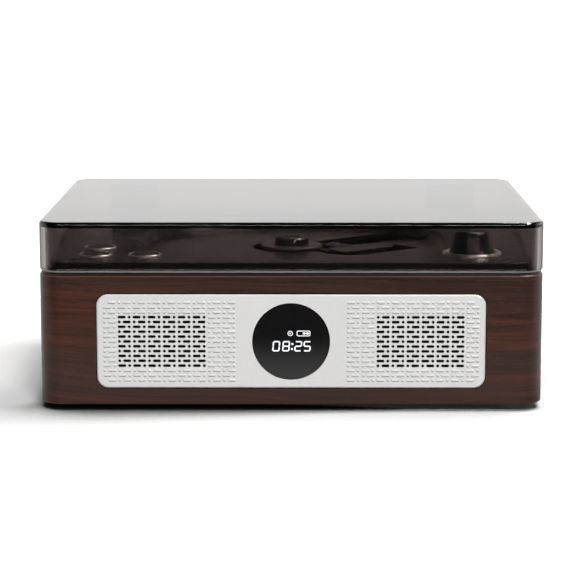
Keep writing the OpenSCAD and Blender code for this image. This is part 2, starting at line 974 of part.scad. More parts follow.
module mech_chassis() {
    color(blue_grey)
        at_spindle()
            difference() {
                union() {
                    translate([0, 0, chassis_bottom])
                        linear_extrude(chassis_t)
                            chassis_outline(0);
                    translate([0, 0, chassis_bottom])
                        linear_extrude(chassis_t + rim_h)
                            difference() {
                                chassis_outline(0);
                                chassis_outline(rim_wall);
                                for (p = damper_at)
                                    translate(p)
                                        circle(damper_r + 1.2);
                            }
                    for (x = [rod_x0 + rod_block / 2, rod_x1 - rod_block / 2])
                        translate([x, 0, 0]) {
                            rod_post(rod_y, 3, rod_r);
                            rod_post(rail_y, 2.4, rail_r);
                        }
                    translate([gear_x, gear_y, chassis_top - eps]) {
                        cylinder(h = gear_z - chassis_top + eps, r = 2.4);
                        cylinder(h = rack_z + rack_t + 1.1 - chassis_top, r = post_r);
                    }
                }
                translate([sled_x0 - 0.5, optic_y0 - 2, chassis_bottom - 1])
                    cube([sled_x1 + sled_travel + 1 - sled_x0, optic_y1 - optic_y0 + 4,
                          chassis_t + 2]);
                translate([0, 0, chassis_bottom - 1])
                    cylinder(h = chassis_t + 2, r = 3.2);
                translate([pinion_x, gear_y, chassis_bottom - 1])
                    cylinder(h = chassis_t + 2, r = 3.2);
                at_each(damper_at, chassis_bottom - 1)
                    cylinder(h = chassis_t + 2, r = damper_waist_r + fit_gap);
            }
}

module mech_dampers() {
    half_h = damper_h / 2;
    waist = chassis_t / 2;
    color(rubber_black)
        at_spindle(chassis_bottom + waist)
            at_each(damper_at)
                rotate_extrude()
                    polygon([
                        [shoulder_r + 0.2, -half_h], [damper_r - 0.5, -half_h],
                        [damper_r, -half_h + 0.5], [damper_r, -waist],
                        [damper_waist_r, -waist], [damper_waist_r, waist],
                        [damper_r, waist], [damper_r, half_h - 0.5],
                        [damper_r - 0.5, half_h], [shoulder_r + 0.2, half_h]
                    ]);
}

module mech_screws() {
    head_z = chassis_bottom + chassis_t / 2 - damper_h / 2;
    color(zinc)
        at_spindle(head_z)
            at_each(damper_at)
                mirror([0, 0, 1]) {
                    screw(shoulder_r, damper_h, damper_r - 0.8, 1.2);
                    translate([0, 0, -damper_h - 3])
                        cylinder(h = 3.5, r = shoulder_r - 0.3);
                }
}

// ---------------------------------------------------------------- spindle

module motor_can(r, h) {
    rotate_extrude()
        polygon([
            [shaft_r + fit_gap, 0], [r - 1, 0], [r, 1], [r, h], [3.1, h], [3.1, h + 1.4],
            [shaft_r + fit_gap, h + 1.4]
        ]);
}

module spindle_motor() {
    color(steel)
        at_spindle(chassis_bottom - spindle_motor_h)
            motor_can(spindle_motor_d / 2, spindle_motor_h);
}

module spindle_shaft() {
    color(steel)
        at_spindle(chassis_bottom - spindle_motor_h + shaft_foot)
            cylinder(h = turntable_z + shaft_up - chassis_bottom + spindle_motor_h - shaft_foot,
                     r = shaft_r);
}

function ball_z() = turntable_z + hub_h * 0.55;

module spindle_hub() {
    ball_r = 1.2;
    color(satin_black)
        at_spindle()
            difference() {
                rotate_extrude()
                    polygon([
                        [shaft_r + 0.02, chassis_top + 3.6], [3, chassis_top + 3.6],
                        [3, turntable_z], [hub_r, turntable_z], [hub_r, hub_z - 0.7],
                        [hub_r - 1, hub_z], [3.6, hub_z], [3.2, hub_z - 0.5], [0, hub_z - 0.5],
                        [0, turntable_z + shaft_up], [shaft_r + 0.02, turntable_z + shaft_up]
                    ]);
                for (turn = [0 : 120 : 240])
                    rotate([0, 0, turn])
                        translate([hub_r - 2.6, 0, ball_z()])
                            rotate([0, 90, 0])
                                cylinder(h = 4, r = ball_r + fit_gap);
            }
}

module turntable() {
    color(pale_grey)
        at_spindle()
            rotate_extrude()
                polygon([
                    [3.02, turntable_z - turntable_t], [turntable_r - 0.4, turntable_z - turntable_t],
                    [turntable_r, turntable_z - turntable_t + 0.4], [turntable_r, turntable_z - 0.3],
                    [turntable_r - 0.3, turntable_z], [3.02, turntable_z]
                ]);
}

module clamp_balls() {
    ball_r = 1.2;
    color(steel)
        at_spindle(ball_z())
            for (turn = [0 : 120 : 240])
                rotate([0, 0, turn])
                    translate([hub_r - ball_r - 0.02, 0, 0])
                        sphere(ball_r, $fn = 32);
}

// ---------------------------------------------------------------- pickup sled

function tooth_half(n, r) =
    let (base_r = gear_module * n / 2 * cos(pressure))
    90 / n - backlash / (gear_module * n) * 180 / PI + spread(pressure)
        - spread(r > base_r ? acos(base_r / r) : 0);
function spread(a) = tan(a) * 180 / PI - a;

// Involute gear outline, with one tooth along X
module gear_outline(n) {
    pitch_r = gear_module * n / 2;
    root_r = pitch_r - tooth_root * gear_module;
    tip_r = pitch_r + tooth_top * gear_module;
    steps = [root_r, max(root_r, pitch_r * cos(pressure)), pitch_r, (pitch_r + tip_r) / 2, tip_r];
    polygon([
        for (tooth = [0 : n - 1], side = [-1, 1], k = [0 : 4])
            let (r = steps[side < 0 ? k : 4 - k], a = tooth * 360 / n + side * tooth_half(n, r))
            [r * cos(a), r * sin(a)]
    ]);
}

// Rack with its teeth towards -Y and its pitch line on X; a gap is centred on the origin
module rack_outline(teeth, before, back) {
    pitch = PI * gear_module;
    lean = tan(pressure);
    up = tooth_top * gear_module;
    down = tooth_root * gear_module;
    half = pitch / 4 - backlash / 2;
    x0 = -before * pitch;
    polygon(concat(
        [[x0, back], [x0, down]],
        [for (k = [0 : teeth - 1], p = [[-half - down * lean, down], [-half + up * lean, -up],
                                         [half - up * lean, -up], [half + down * lean, down]])
            [x0 + (k + 0.5) * pitch + p[0], p[1]]],
        [[x0 + teeth * pitch, down], [x0 + teeth * pitch, back]]
    ));
}

module pickup_sled() {
    color(satin_black)
        at_spindle()
            difference() {
                union() {
                    translate([sled_x0, sled_y0, sled_z0])
                        cube([sled_x1 - sled_x0, sled_y1 - sled_y0, sled_z1 - sled_z0]);
                    translate([optic_x0, optic_y0, optic_z0])
                        cube([optic_x1 - optic_x0, optic_y1 - optic_y0, sled_z0 - optic_z0 + 1]);
                    translate([gear_x, rack_y, rack_z])
                        linear_extrude(rack_t)
                            rack_outline(rack_teeth, rack_teeth - 2, sled_y0 - rack_y + 0.5);
                }
                translate([sled_x0 - 1, rod_y, rod_z])
                    rotate([0, 90, 0])
                        cylinder(h = sled_x1 - sled_x0 + 2, r = rod_r + fit_gap);
                translate([sled_x0 - 1, rail_y - rail_r - 0.3, rod_z - rail_r - 0.1])
                    cube([sled_x1 - sled_x0 + 2, sled_y1, 2 * rail_r + 0.2]);
                translate([0, 0, sled_z0 - 1])
                    cylinder(h = sled_z1, r = turntable_r + 1.2);
                translate([lens_x, 0, sled_z1 - 1.2])
                    cylinder(h = 2, r = 3.3);
            }
}

module lens_cover() {
    color(satin_black)
        at_spindle(sled_z1)
            difference() {
                translate([lens_x - 4.5, -8, 0])
                    linear_extrude(1.4)
                        square([9, 12]);
                translate([lens_x, 0, -1])
                    cylinder(h = 4, r = 3.3);
            }
}

// Objective lens in its round holder
module pickup_lens() {
    color([0.45, 0.42, 0.65])
        at_spindle(sled_z1 - 1.2)
            translate([lens_x, 0, 0]) {
                cylinder(h = 2.8, r = 3.1);
                translate([0, 0, 2.8 - eps])
                    intersection() {
                        translate([0, 0, -3.6])
                            sphere(4.2);
                        cylinder(h = 2, r = 2.2);
                    }
            }
}

module guide_rods() {
    color(steel)
        at_spindle(rod_z) {
            translate([rod_x0 - 0.6, rod_y, 0])
                rotate([0, 90, 0])
                    cylinder(h = rod_x1 - rod_x0 + 1.2, r = rod_r);
            translate([rod_x0 - 0.6, rail_y, 0])
                rotate([0, 90, 0])
                    cylinder(h = rod_x1 - rod_x0 + 1.2, r = rail_r);
        }
}

module sled_motor() {
    color(steel)
        at_spindle(chassis_bottom - sled_motor_h)
            translate([pinion_x, gear_y, 0])
                rotate_extrude()
                    polygon([
                        [0.8, 0.6], [0.8, 0], [sled_motor_d / 2 - 1, 0], [sled_motor_d / 2, 1],
                        [sled_motor_d / 2, sled_motor_h], [3.1, sled_motor_h],
                        [3.1, sled_motor_h + 1.4], [0.8, sled_motor_h + 1.4]
                    ]);
}

// Brass pinion with its motor shaft
module motor_pinion() {
    color(brass)
        at_spindle()
            translate([pinion_x, gear_y, 0]) {
                translate([0, 0, gear_z])
                    linear_extrude(gear_t + 0.3)
                        rotate(180 / pinion_n)
                            gear_outline(pinion_n);
                translate([0, 0, chassis_bottom - sled_motor_h + 0.8])
                    cylinder(h = gear_z + gear_t + 0.8 - chassis_bottom + sled_motor_h - 0.8, r = 0.75);
            }
}

// Large wheel driven by the motor, with the small wheel on top that drives the rack
module drive_gear() {
    color(pale_grey)
        at_spindle(gear_z)
            translate([gear_x, gear_y, 0])
                difference() {
                    union() {
                        linear_extrude(gear_t)
                            gear_outline(gear_n);
                        translate([0, 0, gear_t - eps])
                            linear_extrude(rack_z + rack_t - gear_z - gear_t + 0.3)
                                rotate(90)
                                    gear_outline(pinion_n);
                    }
                    translate([0, 0, -1])
                        cylinder(h = 20, r = post_r + fit_gap);
                    for (turn = [0 : 60 : 300])
                        rotate([0, 0, turn])
                            translate([8, 0, -1])
                                cylinder(h = gear_t + 2, r = 1.9);
                }
}

// ---------------------------------------------------------------- buttons

module button_cap(place) {
    top = deck_z + ring_h + 0.2;
    color(satin_black)
        translate([place[0], place[1], 0])
            rotate_extrude()
                polygon([
                    [0, key_board_z + stem_up], [stem_r, key_board_z + stem_up],
                    [stem_r, deck_under - 1.2], [cap_flange_r, deck_under - 1.2],
                    [cap_flange_r, deck_under - 0.05], [button_d / 2, deck_under - 0.05],
                    [button_d / 2, top - 0.5], [button_d / 2 - 0.5, top], [button_d / 2 - 2, top],
                    [0, top - 0.5]
                ]);
}

module button_cap_front() { button_cap(button_at[0]); }
module button_cap_rear() { button_cap(button_at[1]); }
module button_cap_inner() { button_cap(button_at[2]); }

module button_rings() {
    inner = button_d / 2 + 0.1;
    color(steel)
        at_each(button_at)
            rotate_extrude()
                polygon([
                    [inner, deck_under], [spigot_r, deck_under], [spigot_r, deck_z],
                    [button_ring_d / 2, deck_z], [button_ring_d / 2, deck_z + ring_h - 0.3],
                    [button_ring_d / 2 - 0.3, deck_z + ring_h], [inner + 0.2, deck_z + ring_h],
                    [inner, deck_z + ring_h - 0.2]
                ]);
}

module key_board() {
    color(board_green)
        translate([button_x, button_y, key_board_z - pcb_t])
            linear_extrude(pcb_t)
                difference() {
                    translate([-13, -5])
                        square([button_pitch + 20, button_pitch + 12]);
                    for (p = key_post_at)
                        translate(p)
                            circle(small_screw_r + 0.15);
                }
}

module key_switches() {
    color(satin_black)
        at_each(button_at, key_board_z)
            difference() {
                translate([-3, -3, 0])
                    cube([6, 6, switch_h]);
                translate([0, 0, switch_floor])
                    cylinder(h = switch_h, r = stem_r + fit_gap);
            }
}

// ---------------------------------------------------------------- volume control

// Section of the knob, from its nut hollow and shaft bore to the domed top
module knob_section() {
    foot_r = knob_d / 2;
    top_r = foot_r - 1.6;
    edge_r = 2.6;
    bore_top = knob_h - 2.2;
    bore_r = control_shaft_r + 0.02;
    hollow_top = nut_h + 0.8;
    hollow_r = 6.4;
    polygon(concat(
        [[hollow_r, 0], [foot_r, 0], [foot_r, 1], [foot_r - 0.5, 1.5]],
        [for (turn = [8 : 11 : 74])
            [top_r - edge_r + edge_r * cos(turn), knob_h - 0.6 - edge_r + edge_r * sin(turn)]],
        [[top_r / 2, knob_h - 0.15], [0, knob_h], [0, bore_top], [bore_r, bore_top],
         [bore_r, hollow_top], [hollow_r, hollow_top]]
    ));
}

module volume_knob() {
    flute_w = 1.8;
    flute_deep = 0.7;
    lean = atan(2 / knob_h);
    color(gloss_black)
        translate([knob_x, knob_y, knob_z])
            difference() {
                rotate_extrude($fn = 96)
                    knob_section();
                for (k = [0 : knob_flutes - 1])
                    rotate([0, 0, k * 360 / knob_flutes])
                        translate([knob_d / 2 + 0.1, 0, 1.9])
                            rotate([0, -lean, 0])
                                linear_extrude(knob_h + 2)
                                    polygon([[-flute_deep, 0], [0.5, -flute_w / 2],
                                             [0.5, flute_w / 2]]);
            }
}

module knob_ring() {
    outer = knob_ring_d / 2;
    inner = knob_d / 2 + 0.5;
    color(steel)
        translate([knob_x, knob_y, deck_z])
            rotate_extrude()
                polygon([[inner, 0], [outer, 0], [outer, 0.5], [outer - 0.5, 1], [inner + 0.4, 1],
                         [inner, 0.7]]);
}

module volume_control() {
    body_r = 8.5;
    body_h = 8;
    color(zinc)
        translate([knob_x, knob_y, deck_under])
            difference() {
                union() {
                    translate([0, 0, -body_h])
                        cylinder(h = body_h, r = body_r);
                    cylinder(h = deck_z - deck_under + nut_h + 0.2, r = bush_r);
                    for (k = [-1 : 1])
                        translate([k * 4 - 0.6, -body_r - 4, -body_h + 1])
                            cube([1.2, 5, 0.8]);
                }
                translate([0, 0, -body_h + 1])
                    cylinder(h = 20, r = control_shaft_r + fit_gap);
            }
}

module volume_shaft() {
    color(steel)
        translate([knob_x, knob_y, deck_under - 6.8])
            cylinder(h = knob_z + knob_h - 2.4 - deck_under + 6.8, r = control_shaft_r);
}

module volume_nut() {
    color(steel)
        translate([knob_x, knob_y, deck_z])
            difference() {
                cylinder(h = nut_h, r = 5.6, $fn = 6);
                translate([0, 0, -1])
                    cylinder(h = nut_h + 2, r = bush_r + fit_gap, $fn = 48);
            }
}

// ---------------------------------------------------------------- electronics

function standoff_at() = [
    for (x = [board_x0 + standoff_in, board_x1 - standoff_in],
         y = [board_y0 + standoff_in, board_y1 - standoff_in - 3]) [x, y]
];

module main_board() {
    color(board_green) {
        difference() {
            translate([board_x0, board_y0, board_z])
                cube([board_x1 - board_x0, board_y1 - board_y0, pcb_t]);
            at_each(standoff_at(), board_z - 1)
                cylinder(h = pcb_t + 2, r = small_screw_r + 0.15);
        }
    }
    color(satin_black)
        for (k = [0 : 2])
            translate([board_x0 + 24 + k * capacitor_pitch, board_y0 + 12, board_z + pcb_t - eps])
                cylinder(h = capacitor_h, r = capacitor_r);
}

module board_screws() {
    color(zinc) {
        at_each(standoff_at(), board_z + pcb_t)
            screw(small_screw_r, 6, 1.9, 1.2);
        translate([button_x, button_y, key_board_z - pcb_t])
            at_each(key_post_at)
                mirror([0, 0, 1])
                    screw(small_screw_r, 6.5, 1.9, 1.2);
        on_front(z = baffle_back - pcb_t)
            at_each(display_screw_at())
                mirror([0, 0, 1])
                    screw(small_screw_r, pcb_t - 0.1, 1.7, 1);
    }
}

module amplifier_heatsink() {
    fins = 7;
    color(steel)
        translate([board_x1 - 34, board_y0 + 24, board_z + pcb_t]) {
            cube([(fins - 1) * fin_pitch + fin_t, fin_l, fin_foot_t]);
            for (k = [0 : fins - 1])
                translate([k * fin_pitch, 0, fin_foot_t - eps])
                    cube([fin_t, fin_l, fin_h]);
        }
}

module battery_cells() {
    color([0.15, 0.35, 0.55])
        for (side = [-1, 1])
            translate([cell_x + side * (cell_r + cell_apart), cell_y + cell_l / 2, cell_z])
                rotate([90, 0, 0])
                    cylinder(h = cell_l, r = cell_r);
}

module battery_holder() {
    w = 4 * cell_r + 2 * (cell_apart + holder_wall);
    l = cell_l + 2 * holder_end;
    color(satin_black)
        difference() {
            translate([cell_x - w / 2, cell_y - l / 2, base_z1])
                cube([w, l, holder_h]);
            for (side = [-1, 1])
                translate([cell_x + side * (cell_r + cell_apart), cell_y + cell_l / 2 + 0.5, cell_z])
                    rotate([90, 0, 0])
                        cylinder(h = cell_l + 1, r = cell_r + fit_gap);
            translate([cell_x - cell_r - 1, cell_y - cell_l / 2, cell_z])
                cube([2 * cell_r + 2, cell_l, holder_h]);
        }
}

module socket_plate() {
    color(satin_black)
        translate([socket_x, rear_y - socket_plate_t, audio_z])
            rotate([-90, 0, 0])
                linear_extrude(socket_plate_t)
                    difference() {
                        round_rect(socket_plate_w, socket_plate_h, 2);
                        translate([audio_x - socket_x, 0])
                            circle(4.1);
                        translate([charge_x - socket_x, audio_z - charge_z()])
                            square([9.6, 3.8], center = true);
                    }
}
function charge_z() = board_z + pcb_t + 1.7;

module audio_socket() {
    body_l = 14;
    color(satin_black)
        difference() {
            union() {
                translate([audio_x - 6, rear_y - socket_plate_t - body_l, board_z + pcb_t])
                    cube([12, body_l, 8]);
                translate([audio_x, rear_y, audio_z])
                    rotate([90, 0, 0])
                        cylinder(h = socket_plate_t + 1, r = 4);
            }
            translate([audio_x, rear_y + 1, audio_z])
                rotate([90, 0, 0])
                    cylinder(h = 14, r = audio_r);
        }
}

module charge_socket() {
    color(steel)
        translate([charge_x, rear_y - 8.5, charge_z()])
            difference() {
                translate([-4.6, 0, -1.7])
                    cube([9.2, 8, 3.4]);
                translate([-4.1, 1, -1.25])
                    cube([8.2, 8, 2.5]);
            }
}

// ---------------------------------------------------------------- lid and hinges

module at_hinges() {
    for (side = [-1, 1])
        translate([side * hinge_x, hinge_axis_y, hinge_axis_z])
            children();
}

module barrel(w, x) {
    translate([x, 0, 0])
        rotate([0, 90, 0])
            cylinder(h = w, r = barrel_r);
}

module pin_bore() {
    translate([-hinge_w, 0, 0])
        rotate([0, 90, 0])
            cylinder(h = 2 * hinge_w, r = hinge_pin_r + fit_gap);
}

// Screw places of the hinge leaf on the cabinet's rear face, as holes or shanks
module hinge_leaf_screws(r, deep) {
    at_hinges()
        for (sx = [-1, 1])
            translate([sx * hinge_w / 4, -barrel_off - deep, -10])
                rotate([-90, 0, 0])
                    cylinder(h = deep + leaf_t + 1, r = r);
}

module hinge_bases() {
    web_h = barrel_r;
    color(satin_black)
        difference() {
            at_hinges()
                difference() {
                    union() {
                        difference() {
                            translate([-hinge_w / 2, -barrel_off, -leaf_h])
                                cube([hinge_w, leaf_t, leaf_h - 1.4]);
                            translate([-knuckle_w / 2, 0, 0])
                                rotate([0, 90, 0])
                                    cylinder(h = knuckle_w, r = barrel_r + 0.3);
                        }
                        for (x = [-hinge_w / 2, hinge_w / 2 - knuckle_w + knuckle_gap]) {
                            barrel(knuckle_w - knuckle_gap, x);
                            translate([x, -barrel_off, -web_h - 1])
                                cube([knuckle_w - knuckle_gap, barrel_off, web_h + 1 - 0.9]);
                        }
                    }
                    pin_bore();
                }
            hinge_leaf_screws(screw_r - 0.4, 1);
        }
}

// Clamp that grips the lid's rear wall, with the middle knuckle
module hinge_arms() {
    wall_y = -barrel_off;
    clamp_up = clamp_z - hinge_axis_z;
    color(satin_black)
        at_hinges()
            difference() {
                union() {
                    translate([-hinge_w / 2, wall_y - lid_wall - cheek_t, clamp_up - 2])
                        cube([hinge_w, 2 * cheek_t + lid_wall, 2]);
                    for (y = [wall_y - lid_wall - cheek_t, wall_y])
                        translate([-hinge_w / 2, y, clamp_up - eps])
                            cube([hinge_w, cheek_t, clamp_h]);
                    barrel(knuckle_w - 2 * knuckle_gap, -knuckle_w / 2 + knuckle_gap);
                    translate([-knuckle_w / 2 + knuckle_gap, wall_y, 0])
                        cube([knuckle_w - 2 * knuckle_gap, barrel_off, clamp_up - 1]);
                }
                pin_bore();
                for (x = [-hinge_w, knuckle_w / 2 - knuckle_gap])
                    translate([x, 0, 0])
                        rotate([0, 90, 0])
                            cylinder(h = hinge_w - knuckle_w / 2 + knuckle_gap, r = barrel_r + 0.3);
                clamp_screw_places()
                    cylinder(h = 3 * cheek_t + lid_wall, r = small_screw_r + fit_gap, center = true);
            }
}

module clamp_screw_places() {
    for (sx = [-1, 1])
        translate([sx * hinge_w / 3, -barrel_off - lid_wall / 2, clamp_z - hinge_axis_z + clamp_h / 2])
            rotate([90, 0, 0])
                children();
}

module hinge_pins() {
    color(steel)
        at_hinges()
            translate([-hinge_w / 2, 0, 0])
                rotate([0, 90, 0])
                    cylinder(h = hinge_w, r = hinge_pin_r);
}

// Screws that hold the hinge bases to the cabinet
module hinge_screws() {
    color(zinc)
        at_hinges()
            for (sx = [-1, 1])
                translate([sx * hinge_w / 4, -barrel_off + leaf_t, -10])
                    rotate([-90, 0, 0])
                        screw(screw_r - 0.5, leaf_t + 4, 2, 0.8);
}

// Screws that close the clamps on the lid's rear wall, with their heads outside
module clamp_screws() {
    color(zinc)
        at_hinges()
            clamp_screw_places()
                translate([0, 0, -lid_wall / 2 - cheek_t])
                    mirror([0, 0, 1])
                        screw(small_screw_r, lid_wall + 2 * cheek_t - 0.3, 1.6, 0.7);
}

module lid_section() {
    r = cab_corner_r;
    polygon([
        [r - lid_wall, lid_z0], [r - lid_bevel * 0.7, lid_z0], [r, lid_z0 + lid_bevel],
        [r, lid_z1 - lid_edge_r], [r - lid_wall, lid_z1 - lid_edge_r]
    ]);
    translate([r - lid_wall, lid_z1 - lid_top_t])
        square([lid_wall - lid_edge_r, lid_top_t]);
    translate([r - lid_edge_r, lid_z1 - lid_edge_r])
        circle(lid_edge_r, $fn = 32);
}

module lid() {
    color(smoke)
        difference() {
            union() {
                at_cabinet()
                    sweep_wall(cab_w, cab_d, cab_corner_r)
                        lid_section();
                at_cabinet(lid_z1 - lid_top_t)
                    linear_extrude(lid_top_t)
                        round_rect(cab_w - 2 * lid_wall, cab_d - 2 * lid_wall,
                                   cab_corner_r - lid_wall);
            }
            at_hinges()
                translate([-hinge_w / 2 - 0.3, -barrel_off - lid_wall - 1, lid_z0 - hinge_axis_z - 1])
                    cube([hinge_w + 0.6, lid_wall + 2, clamp_z - lid_z0 + 1]);
            at_hinges()
                clamp_screw_places()
                    cylinder(h = lid_wall + 2, r = small_screw_r + fit_gap, center = true);
        }
}

cabinet();
base_plate();
rubber_feet();
base_screws();
front_panel();
grille_cloth();
speaker_baffle();
front_screws();
speaker_basket_left();
speaker_basket_right();
speaker_cone_left();
speaker_cone_right();
speaker_magnet_left();
speaker_magnet_right();
display_lens();
display_board();
display_digits();
deck_plate();
deck_plugs();
deck_screws();
mech_chassis();
mech_dampers();
mech_screws();
spindle_motor();
spindle_shaft();
spindle_hub();
turntable();
clamp_balls();
pickup_sled();
pickup_lens();
lens_cover();
guide_rods();
sled_motor();
motor_pinion();
drive_gear();
button_cap_front();
button_cap_rear();
button_cap_inner();
button_rings();
key_board();
key_switches();
volume_knob();
knob_ring();
volume_control();
volume_shaft();
volume_nut();
main_board();
board_screws();
amplifier_heatsink();
battery_cells();
battery_holder();
socket_plate();
audio_socket();
charge_socket();
hinge_bases();
hinge_arms();
hinge_pins();
hinge_screws();
clamp_screws();
lid();
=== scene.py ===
"""Looks of a tabletop compact disc music centre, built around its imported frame.

Every node of the frame keeps its shape and gets a procedural finish here. The
embossed part of the grille pattern and the lit display are modelled as new pieces,
and a plain pale studio stands around the whole. All lengths are in metres.
"""

import logging
import math
from collections.abc import Callable
from dataclasses import dataclass, field
from enum import Enum

import bmesh
import bpy
from mathutils import Matrix, Vector


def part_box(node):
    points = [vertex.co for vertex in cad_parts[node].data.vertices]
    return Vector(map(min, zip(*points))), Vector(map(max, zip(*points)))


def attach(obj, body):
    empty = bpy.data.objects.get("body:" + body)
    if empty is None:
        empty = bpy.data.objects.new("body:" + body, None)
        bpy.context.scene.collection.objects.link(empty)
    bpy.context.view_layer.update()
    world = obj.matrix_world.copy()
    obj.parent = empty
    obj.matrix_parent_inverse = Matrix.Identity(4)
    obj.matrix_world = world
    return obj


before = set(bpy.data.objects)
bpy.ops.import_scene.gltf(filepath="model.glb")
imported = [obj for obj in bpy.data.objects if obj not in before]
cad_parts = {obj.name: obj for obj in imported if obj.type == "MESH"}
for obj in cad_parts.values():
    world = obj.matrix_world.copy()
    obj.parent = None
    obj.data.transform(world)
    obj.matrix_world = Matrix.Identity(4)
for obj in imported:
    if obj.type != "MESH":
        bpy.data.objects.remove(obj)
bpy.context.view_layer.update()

MM = 0.001
FRONT_FACING = -0.9
Colour = tuple[float, float, float]
Point = tuple[float, float, float]
Step = tuple[float, float, float, float]
Socket = bpy.types.NodeSocket
log = logging.getLogger("music_centre")


class Side(Enum):
    """A side of the front panel, as the sign of its X."""

    LEFT = -1
    RIGHT = 1


class Lay(Enum):
    """The way a metal's tool marks run, as the scale of its noise along X, Y and Z."""

    ROLLED = (1.0, 1.0, 1.0)
    TURNED = (0.15, 0.15, 14.0)
    DRAWN = (14.0, 14.0, 1.5)


class Reach(Enum):
    """What a lamp lights: what a dull surface shows, or what a gloss shows."""

    DULL = (True, False)
    GLOSS = (False, True)


# ---------------------------------------------------------------- node trees


class Graph:
    """The node tree of a finish or of the surroundings, with a short call for each node."""

    def __init__(self, owner: bpy.types.Material | bpy.types.World) -> None:
        """Empties a node tree to write in.

        Args:
            owner: The material or the world that the tree belongs to.
        """
        owner.use_nodes = True
        self.tree = owner.node_tree
        self.tree.nodes.clear()

    def node(self, kind: str, sockets: dict | None = None, **settings: object) -> bpy.types.Node:
        """Adds a node.

        Args:
            kind: The node's Blender type, without the ShaderNode in front.
            sockets: Values or links for its inputs, by name or place.
            **settings: The node's own settings.

        Returns:
            The new node.
        """
        made = self.tree.nodes.new("ShaderNode" + kind)
        for key, value in settings.items():
            setattr(made, key, value)
        for key, value in (sockets or {}).items():
            self.feed(made.inputs[key], value)
        return made

    def feed(self, socket: Socket, value: object) -> None:
        """Links or sets one input.

        Args:
            socket: The input.
            value: A socket to link from, a colour of three numbers, or a plain value.
        """
        if isinstance(value, bpy.types.NodeSocket):
            self.tree.links.new(value, socket)
        elif isinstance(value, tuple) and socket.type == "RGBA":
            socket.default_value = (*value, 1.0)
        else:
            socket.default_value = value

    def place(self, scale: Point = (1.0, 1.0, 1.0), turn: Point = (0.0, 0.0, 0.0)) -> Socket:
        """Gives the piece's own coordinates, in metres, turned and scaled.

        Args:
            scale: How much faster than a metre they run along each axis.
            turn: How far they are turned about each axis, in radians.

        Returns:
            The coordinates.
        """
        own = self.node("TexCoord").outputs["Object"]
        return self.node("Mapping", {"Vector": own, "Rotation": turn, "Scale": scale}).outputs[0]

    def axes(self, vector: Socket) -> tuple[Socket, Socket, Socket]:
        """Splits a vector into X, Y and Z."""
        split = self.node("SeparateXYZ", {0: vector})
        return split.outputs[0], split.outputs[1], split.outputs[2]

    def noise(self, vector: Socket, scale: float, detail: float = 2.0,
              rough: float = 0.5, distortion: float = 0.0) -> Socket:
        """Gives smooth noise from 0 to 1 over a vector."""
        return self.node("TexNoise", {"Vector": vector, "Scale": scale, "Detail": detail,
                                      "Roughness": rough, "Distortion": distortion}).outputs[0]

    def cells(self, vector: Socket, scale: float, feature: str = "F1",
              metric: str = "EUCLIDEAN", part: str = "Distance") -> Socket:
        """Gives a Voronoi texture's distance or colour.

        Args:
            vector: The coordinates.
            scale: How many cells there are to a unit.
            feature: Which of the nearest cells counts.
            metric: How the distance is measured.
            part: The output to give.

        Returns:
            That output.
        """
        made = self.node("TexVoronoi", {"Vector": vector, "Scale": scale},
                         feature=feature, distance=metric)
        return made.outputs[part]

    def maths(self, operation: str, *values: Socket | float) -> Socket:
        """Gives the result of a mathematical operation on one to three values."""
        return self.node("Math", dict(enumerate(values)), operation=operation).outputs[0]

    def product(self, first: Socket | float, *others: Socket | float) -> Socket:
        """Gives the product of two or more values.

        Args:
            first: A value.
            *others: The values that it is multiplied by.

        Returns:
            The product.
        """
        for other in others:
            first = self.maths("MULTIPLY", first, other)
        return first

    def minus(self, first: Socket | float, second: Socket | float) -> Socket:
        """Gives the first value less the second."""
        return self.maths("SUBTRACT", first, second)

    def most(self, first: Socket | float, second: Socket | float) -> Socket:
        """Gives the greater of two values."""
        return self.maths("MAXIMUM", first, second)

    def size(self, value: Socket) -> Socket:
        """Gives a value without its sign."""
        return self.maths("ABSOLUTE", value)

    def choose(self, switch: Socket, off: Socket | float, on: Socket | float) -> Socket:
        """Gives one of two values by a switch of 0 or 1."""
        return self.node("Mix", {0: switch, 2: off, 3: on}).outputs[0]

    def between(self, value: Socket, low: float, high: float,
                out_low: float = 0.0, out_high: float = 1.0) -> Socket:
        """Gives a smooth step of a value from one range to another.

        Args:
            value: The value.
            low: Where the step starts.
            high: Where the step ends.
            out_low: The result before it.
            out_high: The result after it.

        Returns:
            The result.
        """
        made = self.node("MapRange", {"Value": value, 1: low, 2: high, 3: out_low, 4: out_high},
                         interpolation_type="SMOOTHSTEP")
        return made.outputs[0]

    def mix(self, share: Socket | float, first: Socket | Colour,
            second: Socket | Colour) -> Socket:
        """Gives a mix of two colours."""
        return self.node("Mix", {0: share, 6: first, 7: second}, data_type="RGBA").outputs[2]

    def bump(self, height: Socket, depth: float, share: float) -> Socket:
        """Gives a normal raised by a height, where 1 is the depth in metres."""
        return self.node("Bump", {"Strength": share, "Distance": depth,
                                  "Height": height}).outputs[0]

    def surface(self, sockets: dict) -> Socket:
        """Gives the Principled shader with its values and links."""
        return self.node("BsdfPrincipled", sockets).outputs[0]

    def blend(self, share: Socket, first: Socket, second: Socket) -> Socket:
        """Gives a mix of two shaders."""
        return self.node("MixShader", {0: share, 1: first, 2: second}).outputs[0]

    def glow(self, strength: Socket) -> Socket:
        """Gives a white glow of a strength."""
        return self.node("Emission", {"Strength": strength}).outputs[0]


def toned(colour: Colour, share: float) -> Colour:
    """Gives a colour lightened or darkened by a share, and no lighter than white."""
    return tuple(min(1.0, share * part) for part in colour)


